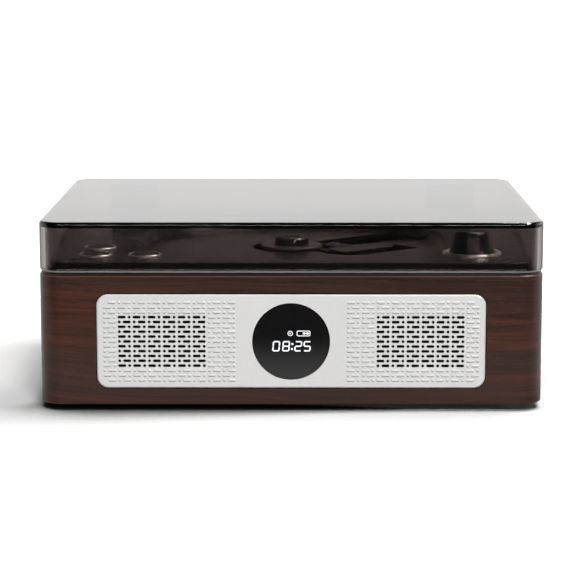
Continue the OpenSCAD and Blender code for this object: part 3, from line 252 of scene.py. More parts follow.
@dataclass(frozen=True)
class Finish:
    """A surface finish. Each kind writes its own node tree."""

    name: str

    def write(self, graph: Graph) -> Socket:
        """Writes the tree and returns the shader's socket."""
        raise NotImplementedError

    def material(self) -> bpy.types.Material:
        """Makes the finish's material once, and gives the same one after that.

        Returns:
            The material.
        """
        known = bpy.data.materials.get(self.name)
        if known is not None:
            return known
        made = bpy.data.materials.new(self.name)
        graph = Graph(made)
        graph.node("OutputMaterial", {"Surface": self.write(graph)})
        return made


@dataclass(frozen=True)
class Veneer(Finish):
    """Dark stained veneer whose grain runs level round the upright faces.

    Inside the veneer's sheet the board shows as raw pressed fibre.
    """

    low: Vector = Vector()
    high: Vector = Vector()
    corner_r: float = 9.5 * MM
    sheet: float = 0.6 * MM
    arris: float = 0.42 * MM
    wander: float = 0.030
    band_pace: tuple[float, float] = (5.5, 110.0)
    streak_pace: tuple[float, float] = (12.0, 640.0)
    line_pace: tuple[float, float] = (30.0, 1500.0)
    pore_pace: tuple[float, float] = (160.0, 4200.0)
    ground: Colour = (0.0365, 0.0106, 0.0053)
    reddish: Colour = (0.0900, 0.0200, 0.0075)
    dark: Colour = (0.0150, 0.0056, 0.0034)
    painted_gap_shadow: Colour = (0.0030, 0.0028, 0.0028)
    painted_edge_highlight: Colour = (0.1150, 0.0560, 0.0400)
    fibre: Colour = (0.155, 0.100, 0.062)

    def write(self, graph: Graph) -> Socket:
        """Writes the grain, the painted shadow and highlight at the upper arris, and the fibre
        core.

        Args:
            graph: The tree to write in.

        Returns:
            The shader's socket.
        """
        plain = graph.place()
        drift = graph.noise(graph.place((5.0, 5.0, 14.0)), 1.0, 2.0)
        drift = graph.node("CombineXYZ", {2: graph.product(drift, self.wander)}).outputs[0]
        along = graph.node("VectorMath", {0: plain, 1: drift}, operation="ADD").outputs[0]
        bands = self._grain(graph, along, self.band_pace, 3.0, 0.6, 0.4)
        streaks = self._grain(graph, along, self.streak_pace, 3.0, 0.6, 0.2)
        lines = self._grain(graph, along, self.line_pace, 2.0, 0.6)
        pits = graph.between(self._grain(graph, along, self.pore_pace, 1.0), 0.36, 0.27)
        colour = self._stained(graph, plain, bands, streaks, lines)
        colour = graph.mix(graph.product(pits, 0.7), colour, self.dark)
        colour = self._edged(graph, plain, colour)
        core = self._core(graph, plain)
        flecks = graph.noise(plain, 900.0, 3.0, 0.7)
        board = graph.mix(graph.between(flecks, 0.35, 0.7), self.fibre, toned(self.fibre, 1.5))
        gloss = graph.between(streaks, 0.3, 0.7, 0.29, 0.38)
        relief = graph.minus(graph.product(lines, 0.35), pits)
        return graph.surface({"Base Color": graph.mix(core, colour, board),
                              "Roughness": graph.most(gloss, graph.product(core, 0.9)),
                              "Specular IOR Level": 0.34,
                              "Normal": graph.bump(relief, 0.03 * MM, 0.6)})

    def _grain(self, graph: Graph, along: Socket, pace: tuple[float, float], detail: float,
               rough: float = 0.5, distortion: float = 0.0) -> Socket:
        """Gives noise that runs along the grain.

        Args:
            graph: The tree to write in.
            along: The wandering coordinates.
            pace: How fast it changes along the grain and up the face, per metre.
            detail: The noise's detail.
            rough: The noise's roughness.
            distortion: The noise's distortion.

        Returns:
            The noise, from 0 to 1.
        """
        level, upright = pace
        spread = graph.node("Mapping", {"Vector": along, "Scale": (level, level, upright)})
        return graph.noise(spread.outputs[0], 1.0, detail, rough, distortion)

    def _stained(self, graph: Graph, plain: Socket, bands: Socket, streaks: Socket,
                 lines: Socket) -> Socket:
        """Gives the stained wood's colour, redder towards the ends.

        Args:
            graph: The tree to write in.
            plain: The piece's own coordinates.
            bands: The broad grain.
            streaks: The finer grain.
            lines: The finest grain.

        Returns:
            The colour.
        """
        x, _, _ = graph.axes(plain)
        ends = graph.between(graph.size(x), 0.035, 0.095, 0.30, 1.0)
        red = graph.product(graph.between(bands, 0.42, 0.68), ends)
        colour = graph.mix(red, self.ground, self.reddish)
        colour = graph.mix(graph.between(bands, 0.46, 0.30, 0.0, 0.7), colour, self.dark)
        colour = graph.mix(graph.between(streaks, 0.60, 0.36, 0.0, 0.62), colour, self.dark)
        return graph.mix(graph.between(lines, 0.52, 0.74, 0.0, 0.34), colour, self.reddish)

    def _edged(self, graph: Graph, plain: Socket, colour: Socket) -> Socket:
        """Gives the colour with a painted shadow on its upper arris, and a painted highlight just
        below it.

        Args:
            graph: The tree to write in.
            plain: The piece's own coordinates.
            colour: The colour of the wood.

        Returns:
            The colour with its edge.
        """
        _, _, z = graph.axes(plain)
        drop = graph.minus(self.high.z, z)
        # Just below the top a lighter band is a painted highlight, and the black at the very top
        # is a painted shadow of the gap under the lid.
        edge_highlight_share = graph.product(graph.between(drop, 0.9 * self.arris, 1.3 * self.arris),
                             graph.between(drop, 2.4 * self.arris, 1.9 * self.arris, 0.0, 0.75))
        colour = graph.mix(edge_highlight_share, colour, self.painted_edge_highlight)
        black = graph.between(drop, 1.1 * self.arris, 0.9 * self.arris)
        return graph.mix(black, colour, self.painted_gap_shadow)

    def _core(self, graph: Graph, plain: Socket) -> Socket:
        """Gives 1 inside the veneer's sheet and 0 on it.

        Args:
            graph: The tree to write in.
            plain: The piece's own coordinates.

        Returns:
            The switch.
        """
        x, y, _ = graph.axes(plain)
        half_w = 0.5 * (self.high.x - self.low.x)
        half_d = 0.5 * (self.high.y - self.low.y)
        across = graph.size(x)
        deep = graph.size(graph.minus(y, 0.5 * (self.low.y + self.high.y)))
        inside = graph.product(graph.maths("LESS_THAN", across, half_w - self.sheet),
                               graph.maths("LESS_THAN", deep, half_d - self.sheet))
        # In a rounded corner, the core ends at the corner's own arc less the sheet.
        dx = graph.most(graph.minus(across, half_w - self.corner_r), 0.0)
        dy = graph.most(graph.minus(deep, half_d - self.corner_r), 0.0)
        reach = graph.maths("SQRT", graph.maths("ADD", graph.product(dx, dx),
                                                graph.product(dy, dy)))
        return graph.product(inside, graph.maths("LESS_THAN", reach, self.corner_r - self.sheet))


@dataclass(frozen=True)
class Moulding(Finish):
    """Moulded plastic: a base colour with faint flow marks, and a spark-eroded texture."""

    colour: Colour = (0.02, 0.02, 0.02)
    rough: float = 0.4
    grain: float = 0.5 * MM
    depth: float = 0.01 * MM
    gloss: float = 0.5

    def write(self, graph: Graph) -> Socket:
        """Writes the flow marks, the texture and the uneven gloss.

        Args:
            graph: The tree to write in.

        Returns:
            The shader's socket.
        """
        plain = graph.place()
        flow = graph.noise(plain, 38.0, 3.0, 0.55, 0.6)
        tooth = graph.noise(plain, 1.0 / self.grain, 2.0, 0.6)
        colour = graph.mix(graph.between(flow, 0.3, 0.7), toned(self.colour, 0.86),
                           toned(self.colour, 1.16))
        patch = graph.maths("ADD", graph.product(flow, 0.6), graph.product(tooth, 0.4))
        gloss = graph.between(patch, 0.25, 0.75, 0.88 * self.rough, min(1.0, 1.14 * self.rough))
        return graph.surface({"Base Color": colour, "Roughness": gloss,
                              "Specular IOR Level": self.gloss,
                              "Normal": graph.bump(tooth, self.depth, 0.5)})


@dataclass(frozen=True)
class FlakePaint(Finish):
    """Sprayed paint with fine metal flakes and a faint orange-peel surface."""

    colour: Colour = (0.66, 0.66, 0.65)
    rough: float = 0.42
    metal: float = 0.25
    flake: float = 0.18 * MM
    veil: Colour = (0.45, 0.45, 0.46)

    def write(self, graph: Graph) -> Socket:
        """Writes the flakes, a soft drift of tone and the peel.

        Args:
            graph: The tree to write in.

        Returns:
            The shader's socket.
        """
        plain = graph.place()
        flakes = graph.cells(plain, 1.0 / self.flake, part="Color")
        spark, _, _ = graph.axes(flakes)
        drift = graph.noise(plain, 16.0, 2.0)
        colour = graph.mix(graph.between(spark, 0.0, 1.0, 0.0, 0.55), toned(self.colour, 0.95),
                           toned(self.colour, 1.09))
        colour = graph.mix(graph.between(drift, 0.3, 0.7, 0.0, 0.05), colour, self.veil)
        gloss = graph.between(spark, 0.0, 1.0, 0.85 * self.rough, 1.1 * self.rough)
        peel = graph.noise(plain, 900.0, 2.0, 0.5)
        return graph.surface({"Base Color": colour, "Metallic": self.metal, "Roughness": gloss,
                              "Normal": graph.bump(peel, 0.006 * MM, 0.35)})


@dataclass(frozen=True)
class EmbossPaint(Finish):
    """The panel's paint on its embossed bumps, with painted shade where they face down."""

    paint: FlakePaint = FlakePaint("")
    shade: Colour = (0.055, 0.054, 0.053)

    def write(self, graph: Graph) -> Socket:
        """Writes the paint and the painted shade on the lower slopes.

        Args:
            graph: The tree to write in.

        Returns:
            The shader's socket.
        """
        painted = self.paint.write(graph)
        # Slopes that face down take a dark, dull surface: painted shade under each bump.
        _, _, up = graph.axes(graph.node("NewGeometry").outputs["Normal"])
        bare = graph.surface({"Base Color": self.shade, "Roughness": 0.7,
                              "Specular IOR Level": 0.2})
        return graph.blend(graph.between(up, -0.20, -0.50, 0.0, 0.9), painted, bare)


@dataclass(frozen=True)
class PanelPaintWithHoleShade(Finish):
    """Sprayed paint on the panel's face, and black behind it: painted shade in the holes and
    round the panel's edge.
    """

    paint: FlakePaint = FlakePaint("")
    low: Vector = Vector()
    high: Vector = Vector()
    paint_to_shade_depth: float = 0.60 * MM
    edge: float = 3.0 * MM
    # The colour of the painted shade behind the face.
    body: Colour = (0.0060, 0.0060, 0.0062)

    def write(self, graph: Graph) -> Socket:
        """Writes the paint on the face, and painted shade behind it.

        Args:
            graph: The tree to write in.

        Returns:
            The shader's socket.
        """
        painted = self.paint.write(graph)
        plain = graph.place()
        x, y, z = graph.axes(plain)
        tooth = graph.noise(plain, 1500.0, 2.0, 0.6)
        # The dark, dull surface behind the face is painted shade for the holes and for the gap
        # round the panel.
        bare = graph.surface({"Base Color": self.body, "Roughness": 0.7,
                              "Specular IOR Level": 0.2,
                              "Normal": graph.bump(tooth, 0.01 * MM, 0.5)})
        middle_z = 0.5 * (self.low.z + self.high.z)
        upright = graph.size(graph.minus(z, middle_z))
        inner = graph.product(
            graph.maths("LESS_THAN", graph.size(x), self.high.x - self.edge),
            graph.maths("LESS_THAN", upright, self.high.z - middle_z - self.edge))
        # Within the panel's edge the painted shade starts sooner, at the mouths of the holes.
        depth = graph.maths("ADD", graph.minus(y, self.low.y),
                            graph.product(inner, 0.7 * self.paint_to_shade_depth))
        deep = graph.between(depth, 0.95 * self.paint_to_shade_depth, 1.25 * self.paint_to_shade_depth)
        return graph.blend(deep, painted, bare)


@dataclass(frozen=True)
class Metal(Finish):
    """Bare or plated metal with the marks of its making."""

    colour: Colour = (0.62, 0.62, 0.64)
    rough: float = 0.25
    lay: Lay = Lay.ROLLED
    marks: float = 0.35 * MM
    depth: float = 0.004 * MM

    def write(self, graph: Graph) -> Socket:
        """Writes the tool marks, the handling marks and the tone.

        Args:
            graph: The tree to write in.

        Returns:
            The shader's socket.
        """
        lines = graph.noise(graph.place(self.lay.value), 1.0 / self.marks, 2.0, 0.6)
        handling = graph.noise(graph.place(), 70.0, 3.0, 0.6, 0.5)
        colour = graph.mix(graph.between(handling, 0.35, 0.7), toned(self.colour, 0.88),
                           toned(self.colour, 1.08))
        patch = graph.maths("ADD", graph.product(handling, 0.5), graph.product(lines, 0.5))
        gloss = graph.between(patch, 0.25, 0.75, 0.75 * self.rough, min(1.0, 1.35 * self.rough))
        return graph.surface({"Base Color": colour, "Metallic": 1.0, "Roughness": gloss,
                              "Normal": graph.bump(lines, self.depth, 0.6)})


@dataclass(frozen=True)
class Rubber(Finish):
    """Soft rubber with a bloom of dust in its tooth."""

    colour: Colour = (0.016, 0.016, 0.017)
    bloom: Colour = (0.07, 0.07, 0.068)

    def write(self, graph: Graph) -> Socket:
        """Writes the dusty bloom and a soft tooth.

        Args:
            graph: The tree to write in.

        Returns:
            The shader's socket.
        """
        plain = graph.place()
        cloud = graph.noise(plain, 130.0, 4.0, 0.65)
        tooth = graph.noise(plain, 2600.0, 2.0, 0.6)
        colour = graph.mix(graph.between(cloud, 0.45, 0.8, 0.0, 0.4), self.colour, self.bloom)
        return graph.surface({"Base Color": colour, "Roughness": 0.82,
                              "Specular IOR Level": 0.3,
                              "Normal": graph.bump(tooth, 0.02 * MM, 0.6)})


@dataclass(frozen=True)
class SpeakerCloth(Finish):
    """Thin black cloth behind the grille, in a plain weave."""

    thread: float = 0.42 * MM
    colour: Colour = (0.010, 0.010, 0.011)
    lit: Colour = (0.030, 0.030, 0.032)

    def write(self, graph: Graph) -> Socket:
        """Writes warp and weft threads that pass over each other.

        Args:
            graph: The tree to write in.

        Returns:
            The shader's socket.
        """
        x, _, z = graph.axes(graph.place())
        turn = math.pi / self.thread
        warp = graph.size(graph.maths("SINE", graph.product(x, turn)))
        weft = graph.size(graph.maths("SINE", graph.product(z, turn)))
        over = graph.most(warp, weft)
        colour = graph.mix(graph.between(over, 0.4, 1.0), self.colour, self.lit)
        return graph.surface({"Base Color": colour, "Roughness": 0.9,
                              "Specular IOR Level": 0.2,
                              "Normal": graph.bump(over, 0.08 * MM, 0.8)})


@dataclass(frozen=True)
class ConePaper(Finish):
    """Pressed paper pulp of a small speaker's cone."""

    colour: Colour = (0.018, 0.018, 0.019)

    def write(self, graph: Graph) -> Socket:
        """Writes fibres and an uneven, matt surface.

        Args:
            graph: The tree to write in.

        Returns:
            The shader's socket.
        """
        plain = graph.place()
        fibres = graph.noise(graph.place((1.0, 0.5, 3.0), (0.3, 0.2, 0.5)), 700.0, 4.0, 0.7, 1.2)
        cloud = graph.noise(plain, 200.0, 2.0)
        colour = graph.mix(graph.between(fibres, 0.5, 0.75, 0.0, 0.5), self.colour,
                           toned(self.colour, 2.6))
        gloss = graph.between(cloud, 0.3, 0.7, 0.66, 0.85)
        return graph.surface({"Base Color": colour, "Roughness": gloss,
                              "Normal": graph.bump(fibres, 0.05 * MM, 0.6)})


@dataclass(frozen=True)
class BoardLacquer(Finish):
    """A circuit board: lacquered copper tracks, soldered pads and sleeved capacitors.

    What stands above the board's own thickness is a part on it.
    """

    board_top: float = 1.0
    sleeve_top: float = 1.0
    lacquer: Colour = (0.010, 0.085, 0.032)
    track: Colour = (0.030, 0.160, 0.060)
    solder: Colour = (0.62, 0.62, 0.60)
    sleeve: Colour = (0.012, 0.014, 0.030)
    can: Colour = (0.70, 0.71, 0.73)

    def write(self, graph: Graph) -> Socket:
        """Writes tracks at right and half-right angles, pads and the parts' colours.

        Args:
            graph: The tree to write in.

        Returns:
            The shader's socket.
        """
        plain = graph.place()
        x, y, z = graph.axes(plain)
        face = graph.node("CombineXYZ", {0: x, 1: graph.maths("ADD", y, z)}).outputs[0]
        near = graph.cells(face, 150.0, "F1", "MANHATTAN")
        next_near = graph.cells(face, 150.0, "F2", "MANHATTAN")
        lanes = graph.between(graph.minus(next_near, near), 0.16, 0.10)
        pad = graph.between(graph.cells(face, 300.0), 0.17, 0.14)
        colour = graph.mix(lanes, self.lacquer, self.track)
        colour = graph.mix(pad, colour, self.solder)
        on_board = graph.maths("GREATER_THAN", z, self.board_top)
        on_top = graph.maths("GREATER_THAN", z, self.sleeve_top)
        colour = graph.mix(on_board, colour, self.sleeve)
        colour = graph.mix(on_top, colour, self.can)
        metal = graph.most(graph.product(pad, graph.minus(1.0, on_board)), on_top)
        relief = graph.most(lanes, pad)
        return graph.surface({"Base Color": colour, "Metallic": metal, "Roughness": 0.3,
                              "Normal": graph.bump(relief, 0.035 * MM, 0.8)})


@dataclass(frozen=True)
class SmokedSheet(Finish):
    """Clear acrylic tinted brownish grey, whose shadow still lets light through."""

    low: Vector = Vector()
    edge: float = 0.66 * MM
    tint: Colour = (0.375, 0.332, 0.322)
    shade: Colour = (0.66, 0.63, 0.61)
    ground: Colour = (0.40, 0.385, 0.38)

    def write(self, graph: Graph) -> Socket:
        """Writes glass for sight and a tinted pane for shadows.

        Args:
            graph: The tree to write in.

        Returns:
            The shader's socket.
        """
        cloud = graph.noise(graph.place((9.0, 30.0, 9.0)), 1.0, 3.0, 0.6, 0.4)
        colour = graph.mix(graph.between(cloud, 0.35, 0.75), self.tint, toned(self.tint, 1.05))
        slant = graph.node("LayerWeight", {"Blend": 0.5}).outputs["Facing"]
        colour = graph.mix(graph.between(slant, 0.20, 0.80, 0.0, 0.72), colour,
                           toned(self.tint, 0.25))
        glass = graph.surface({"Base Color": colour, "Roughness": 0.0, "IOR": 1.49,
                               "Transmission Weight": 1.0})
        # The lower edge takes a pale, ground finish: a painted highlight that stands in for the
        # light the sheet carries down to it.
        plain = graph.place()
        _, _, z = graph.axes(plain)
        tooth = graph.noise(plain, 2200.0, 2.0, 0.6)
        edge = graph.surface({"Base Color": self.ground, "Roughness": 0.5,
                              "Normal": graph.bump(tooth, 0.01 * MM, 0.5)})
        lowest = graph.between(z, self.low.z + self.edge, self.low.z + 0.85 * self.edge)
        sheet = graph.blend(lowest, glass, edge)
        pane = graph.node("BsdfTransparent", {"Color": self.shade}).outputs[0]
        return graph.blend(graph.node("LightPath").outputs["Is Shadow Ray"], sheet, pane)


@dataclass(frozen=True)
class WindowBlack(Finish):
    """Black, polished window of the display, with the faintest wipe marks."""

    colour: Colour = (0.0075, 0.0070, 0.0072)

    def write(self, graph: Graph) -> Socket:
        """Writes a polish broken by faint wipe marks.

        Args:
            graph: The tree to write in.

        Returns:
            The shader's socket.
        """
        wipe = graph.noise(graph.place((60.0, 60.0, 20.0)), 1.0, 4.0, 0.6, 0.8)
        gloss = graph.between(wipe, 0.4, 0.8, 0.045, 0.075)
        colour = graph.mix(graph.between(wipe, 0.3, 0.8), self.colour, toned(self.colour, 1.2))
        return graph.surface({"Base Color": colour, "Roughness": gloss, "IOR": 1.49})


@dataclass(frozen=True)
class LitSegment(Finish):
    """The glow of a lit display segment, a little uneven along its length."""

    colour: Colour = (0.93, 0.96, 1.0)
    unlit: Colour = (0.5, 0.5, 0.5)
    strength: float = 0.92

    def write(self, graph: Graph) -> Socket:
        """Writes a glow that is a little weaker in places.

        Args:
            graph: The tree to write in.

        Returns:
            The shader's socket.
        """
        patch = graph.noise(graph.place(), 900.0, 1.0)
        glow = graph.mix(graph.between(patch, 0.3, 0.7), toned(self.colour, 0.86), self.colour)
        return graph.surface({"Base Color": self.unlit, "Roughness": 0.5,
                              "Emission Color": glow, "Emission Strength": self.strength})


@dataclass(frozen=True)
class CoatedLens(Finish):
    """A small glass lens with a violet coating."""

    tint: Colour = (0.60, 0.56, 0.80)
    cast: Colour = (0.45, 0.60, 0.78)
    coat: Colour = (0.75, 0.55, 1.0)

    def write(self, graph: Graph) -> Socket:
        """Writes clear glass whose coating is uneven.

        Args:
            graph: The tree to write in.

        Returns:
            The shader's socket.
        """
        patch = graph.noise(graph.place(), 500.0, 2.0)
        colour = graph.mix(graph.between(patch, 0.3, 0.7), self.tint, self.cast)
        return graph.surface({"Base Color": colour, "Roughness": 0.03, "IOR": 1.52,
                              "Transmission Weight": 0.85, "Coat Weight": 0.6,
                              "Coat Tint": self.coat})


@dataclass(frozen=True)
class CellWrap(Finish):
    """The shrunk plastic sleeve of a battery cell, with its bare steel ends."""

    low: float = 0.0
    high: float = 1.0
    wrap: Colour = (0.030, 0.115, 0.30)
    steel: Colour = (0.66, 0.66, 0.67)

    def write(self, graph: Graph) -> Socket:
        """Writes the sleeve, its heat-shrunk ripples and the ends.

        Args:
            graph: The tree to write in.

        Returns:
            The shader's socket.
        """
        _, y, _ = graph.axes(graph.place())
        ripples = graph.noise(graph.place((900.0, 260.0, 900.0)), 1.0, 2.0)
        ends = graph.most(graph.maths("LESS_THAN", y, self.low),
                          graph.maths("GREATER_THAN", y, self.high))
        colour = graph.mix(ends, self.wrap, self.steel)
        return graph.surface({"Base Color": colour, "Metallic": ends, "Roughness": 0.22,
                              "Normal": graph.bump(ripples, 0.01 * MM, 0.5)})


@dataclass(frozen=True)
class FloorPaper(Finish):
    """Pale paper, white to the eye away from the object, keeping the object's shadow and a
    painted contact shadow beside it.

    A gloss or a clear piece sees a plain glow instead, which fades towards the viewer and is
    dimmed next to the object's foot as painted shade.
    """

    footprint: tuple[float, float] = (0.1025, 0.080)
    paper: Colour = (0.79, 0.79, 0.79)
    nap: Colour = (0.81, 0.81, 0.81)
    nook: Colour = (0.03, 0.03, 0.03)
    bounce: Colour = (0.28, 0.28, 0.28)
    nook_reach: Step = (-0.11, 0.06, 0.034, 0.005)
    nook_front: Step = (-0.085, -0.065, 1.0, 0.25)
    side_front: Step = (-0.075, 0.0, 0.2, 1.0)
    side_edge: float = -0.104
    side_rise: float = 14.0
    side_most: float = 0.3
    lit_around: float = 0.16
    lit_behind: Step = (-0.02, 0.10, 0.0, 0.4)
    mirror_front: Step = (-0.250, -0.150, 0.04, 0.95)
    mirror_foot: Step = (0.0, 0.045, 0.35, 1.0)

    def write(self, graph: Graph) -> Socket:
        """Writes the paper, the light that lifts it to white, and the mirrored glow.

        Args:
            graph: The tree to write in.

        Returns:
            The shader's socket.
        """
        plain = graph.place()
        x, y, _ = graph.axes(plain)
        path = graph.node("LightPath")
        seen = path.outputs["Is Camera Ray"]
        away = graph.most(graph.minus(graph.size(x), self.footprint[0]),
                          graph.minus(graph.size(y), self.footprint[1]))
        matt = graph.node("BsdfDiffuse", {"Color": self._paper(graph, plain, seen)}).outputs[0]
        lift = graph.glow(graph.product(seen, self._lift(graph, x, y, away)))
        shown = graph.node("AddShader", {0: matt, 1: lift}).outputs[0]
        # Next to the object's foot the glow drops to about a third: painted shade for the contact
        # shadow seen in reflections.
        near = graph.product(graph.between(y, *self.mirror_front),
                             graph.between(away, *self.mirror_foot))
        bent = graph.most(path.outputs["Is Glossy Ray"], path.outputs["Is Transmission Ray"])
        return graph.blend(bent, shown, graph.glow(near))

    def _paper(self, graph: Graph, plain: Socket, seen: Socket) -> Socket:
        """Gives the paper's colour, which the eye sees with a painted shadow in the nook by the
        object.

        Args:
            graph: The tree to write in.
            plain: The piece's own coordinates.
            seen: 1 where the camera looks at the paper.

        Returns:
            The colour.
        """
        x, y, _ = graph.axes(plain)
        tooth = graph.noise(plain, 400.0, 2.0)
        colour = graph.mix(graph.between(tooth, 0.3, 0.7), self.paper, self.nap)
        # An ambient occlusion node darkens the nook in front of the object, more at the left: a
        # painted contact shadow.
        reach = graph.product(graph.between(x, *self.nook_reach),
                              graph.between(y, *self.nook_front))
        bare = graph.node("AmbientOcclusion", {"Distance": reach}, samples=8).outputs["AO"]
        colour = graph.mix(graph.between(bare, 0.35, 1.0), self.nook, colour)
        return graph.mix(seen, self.bounce, colour)

    def _lift(self, graph: Graph, x: Socket, y: Socket, away: Socket) -> Socket:
        """Gives how strongly a glow lifts the paper to white, from nothing beside the object,
        with painted light left of it.

        Args:
            graph: The tree to write in.
            x: The place across.
            y: The place in depth.
            away: How far it is from the object.

        Returns:
            The strength, from 0 to 1.
        """
        light = graph.most(graph.between(away, 0.0, self.lit_around),
                           graph.between(y, *self.lit_behind))
        # Left of the object the glow rises again, more towards the back: painted light that pales
        # the shadow there.
        side = graph.product(graph.minus(self.side_edge, x), self.side_rise)
        side = graph.most(0.0, graph.maths("MINIMUM", side, self.side_most))
        return graph.most(light, graph.product(side, graph.between(y, *self.side_front)))


# ---------------------------------------------------------------- modelling


class Bench:
    """The modelling bench: primitives, picks in edit mode, modifiers and copies."""

    @staticmethod
    def clear() -> None:
        """Leaves edit mode and deselects everything."""
        active = bpy.context.view_layer.objects.active
        if active is not None and active.mode != "OBJECT":
            bpy.ops.object.mode_set(mode="OBJECT")
        bpy.ops.object.select_all(action="DESELECT")

    @staticmethod
    def take(obj: bpy.types.Object) -> bpy.types.Object:
        """Makes one object the only selected and active one, and returns it.

        Args:
            obj: The object.

        Returns:
            The object.
        """
        Bench.clear()
        obj.select_set(True)
        bpy.context.view_layer.objects.active = obj
        return obj

    @staticmethod
    def start(name: str, add: Callable[..., object], **sizes: object) -> bpy.types.Object:
        """Adds a primitive with nothing else selected.

        Args:
            name: The new object's name.
            add: The operator that adds it.
            **sizes: The operator's own sizes and place.

        Returns:
            The new object, with its place in its mesh.
        """
        Bench.clear()
        add(**sizes)
        made = bpy.context.view_layer.objects.active
        made.name = made.data.name = name
        bpy.ops.object.transform_apply(location=True, rotation=True, scale=True)
        return made

    @staticmethod
    def pick(obj: bpy.types.Object, kind: str, wanted: Callable[[Vector, Vector], bool]) -> int:
        """Selects faces or corners in edit mode by their place and direction.

        Args:
            obj: The object to edit.
            kind: FACE or VERT.
            wanted: Says from a middle and a normal whether it is selected.

        Returns:
            How many were selected.
        """
        Bench.take(obj)
        bpy.ops.object.mode_set(mode="EDIT")
        bpy.ops.mesh.select_mode(type=kind)
        bpy.ops.mesh.select_all(action="DESELECT")
        mesh = bmesh.from_edit_mesh(obj.data)
        found = 0
        for item in mesh.faces if kind == "FACE" else mesh.verts:
            middle = item.calc_center_median() if kind == "FACE" else item.co
            if wanted(middle, item.normal):
                item.select_set(True)
                found += 1
        mesh.select_flush_mode()
        bmesh.update_edit_mesh(obj.data)
        return found

    @staticmethod
    def stamp(model: bpy.types.Object, name: str, place: Matrix) -> bpy.types.Object:
        """Copies a finished model with its own mesh, moved in the mesh itself.

        Args:
            model: What is copied.
            name: The copy's name.
            place: Where the copy's mesh goes.

        Returns:
            The copy.
        """
        copy = model.copy()
        copy.data = model.data.copy()
        copy.name = name
        copy.data.transform(place)
        bpy.context.scene.collection.objects.link(copy)
        return copy

    @staticmethod
    def join(parts: list[bpy.types.Object], name: str) -> bpy.types.Object:
        """Joins parts into one object of that name.

        Args:
            parts: The parts.
            name: The whole's name.

        Returns:
            The whole.
        """
        Bench.clear()
        for part in parts:
            part.select_set(True)
        bpy.context.view_layer.objects.active = parts[0]
        bpy.ops.object.join()
        made = bpy.context.view_layer.objects.active
        made.name = made.data.name = name
        return made

    @staticmethod
    def drop(obj: bpy.types.Object) -> None:
        """Deletes a model that was only copied from."""
        bpy.data.objects.remove(obj, do_unlink=True)


def dress(obj: bpy.types.Object, finish: Finish) -> None:
    """Gives every material slot of an object one finish.

    Args:
        obj: A node of the frame, or a new piece.
        finish: Its finish.
    """
    if not obj.material_slots:
        obj.data.materials.append(finish.material())
    for slot in obj.material_slots:
        slot.material = finish.material()


@dataclass
class Assembly:
    """A sub-assembly: nodes of the frame with their finishes, and new pieces."""

    title: str
    finishes: dict[str, Finish] = field(default_factory=dict)

    def dress_nodes(self) -> None:
        """Gives each of its nodes its finish."""
        for node, finish in self.finishes.items():
            dress(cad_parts[node], finish)

    def build(self) -> list[bpy.types.Object]:
        """Models the new pieces. A sub-assembly without any returns none."""
        return []

    def finish_piece(self, piece: bpy.types.Object, finish: Finish, body: str,
                     slot: str) -> bpy.types.Object:
        """Dresses a new piece and lets it ride on its body.

        Args:
            piece: The new piece, already in place.
            finish: Its finish.
            body: The body of the frame that carries it.
            slot: Not used.

        Returns:
            The piece.
        """
        dress(piece, finish)
        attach(piece, body)
        return piece


# ---------------------------------------------------------------- finishes in use

BLACK_SHELL = Moulding("black_shell_moulding", (0.018, 0.018, 0.019), 0.55, 0.6 * MM, 0.02 * MM)
SATIN_BLACK = Moulding("satin_black_moulding", (0.014, 0.014, 0.015), 0.34, 0.4 * MM, 0.008 * MM)
DECK_BLACK = Moulding("deck_black_moulding", (0.0125, 0.0118, 0.0120), 0.235, 0.9 * MM,
                      0.0015 * MM, 0.31)
BUTTON_BLACK = Moulding("button_black_moulding", (0.014, 0.014, 0.015), 0.26, 0.3 * MM,
                        0.005 * MM)
KNOB_BLACK = Moulding("knob_black_moulding", (0.0095, 0.0095, 0.012), 0.24, 0.35 * MM, 0.008 * MM)
CHASSIS_GREY = Moulding("chassis_grey_moulding", (0.075, 0.083, 0.098), 0.36, 0.5 * MM,
                        0.012 * MM)
FLANGE_GREY = Moulding("flange_grey_moulding", (0.058, 0.055, 0.054), 0.32, 0.4 * MM, 0.006 * MM)
ACETAL = Moulding("acetal_white_moulding", (0.74, 0.73, 0.69), 0.38, 0.5 * MM, 0.006 * MM)
HINGE_BLACK = Moulding("hinge_black_moulding", (0.016, 0.016, 0.017), 0.42, 0.5 * MM, 0.014 * MM)
PANEL_SILVER = FlakePaint("panel_silver_paint", (0.785, 0.78, 0.77), 0.52)
BASKET_PAINT = FlakePaint("basket_black_paint", (0.022, 0.022, 0.023), 0.45, 0.1, 0.4 * MM)
ZINC = Metal("zinc_plated_steel", (0.56, 0.57, 0.60), 0.30, Lay.ROLLED)
STEEL = Metal("bright_steel", (0.60, 0.60, 0.61), 0.22, Lay.DRAWN)
MAGNET = Metal("magnet_plating", (0.50, 0.50, 0.52), 0.34, Lay.TURNED)
CHROME = Metal("satin_trim", (0.80, 0.78, 0.75), 0.29, Lay.TURNED, 0.5 * MM, 0.002 * MM)
BRASS = Metal("turned_brass", (0.74, 0.52, 0.20), 0.24, Lay.TURNED)
FIN_ALLOY = Metal("extruded_alloy", (0.58, 0.58, 0.60), 0.42, Lay.DRAWN)
RUBBER = Rubber("black_rubber")
CLOTH = SpeakerCloth("black_speaker_cloth")
PAPER = ConePaper("black_cone_paper")
WINDOW = WindowBlack("display_window_black")
LIT = LitSegment("lit_segment")
LENS_GLASS = CoatedLens("coated_lens_glass")


# ---------------------------------------------------------------- sub-assemblies


@dataclass
class Housing(Assembly):
    """The veneered cabinet with its base, feet and screws."""

    def __post_init__(self) -> None:
        """Gives the veneer the cabinet's own box."""
        low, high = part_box("cabinet")
        self.finishes = {
            "cabinet": Veneer("dark_stained_veneer", low, high),
            "base_plate": BLACK_SHELL, "rubber_feet": RUBBER, "base_screws": ZINC,
        }


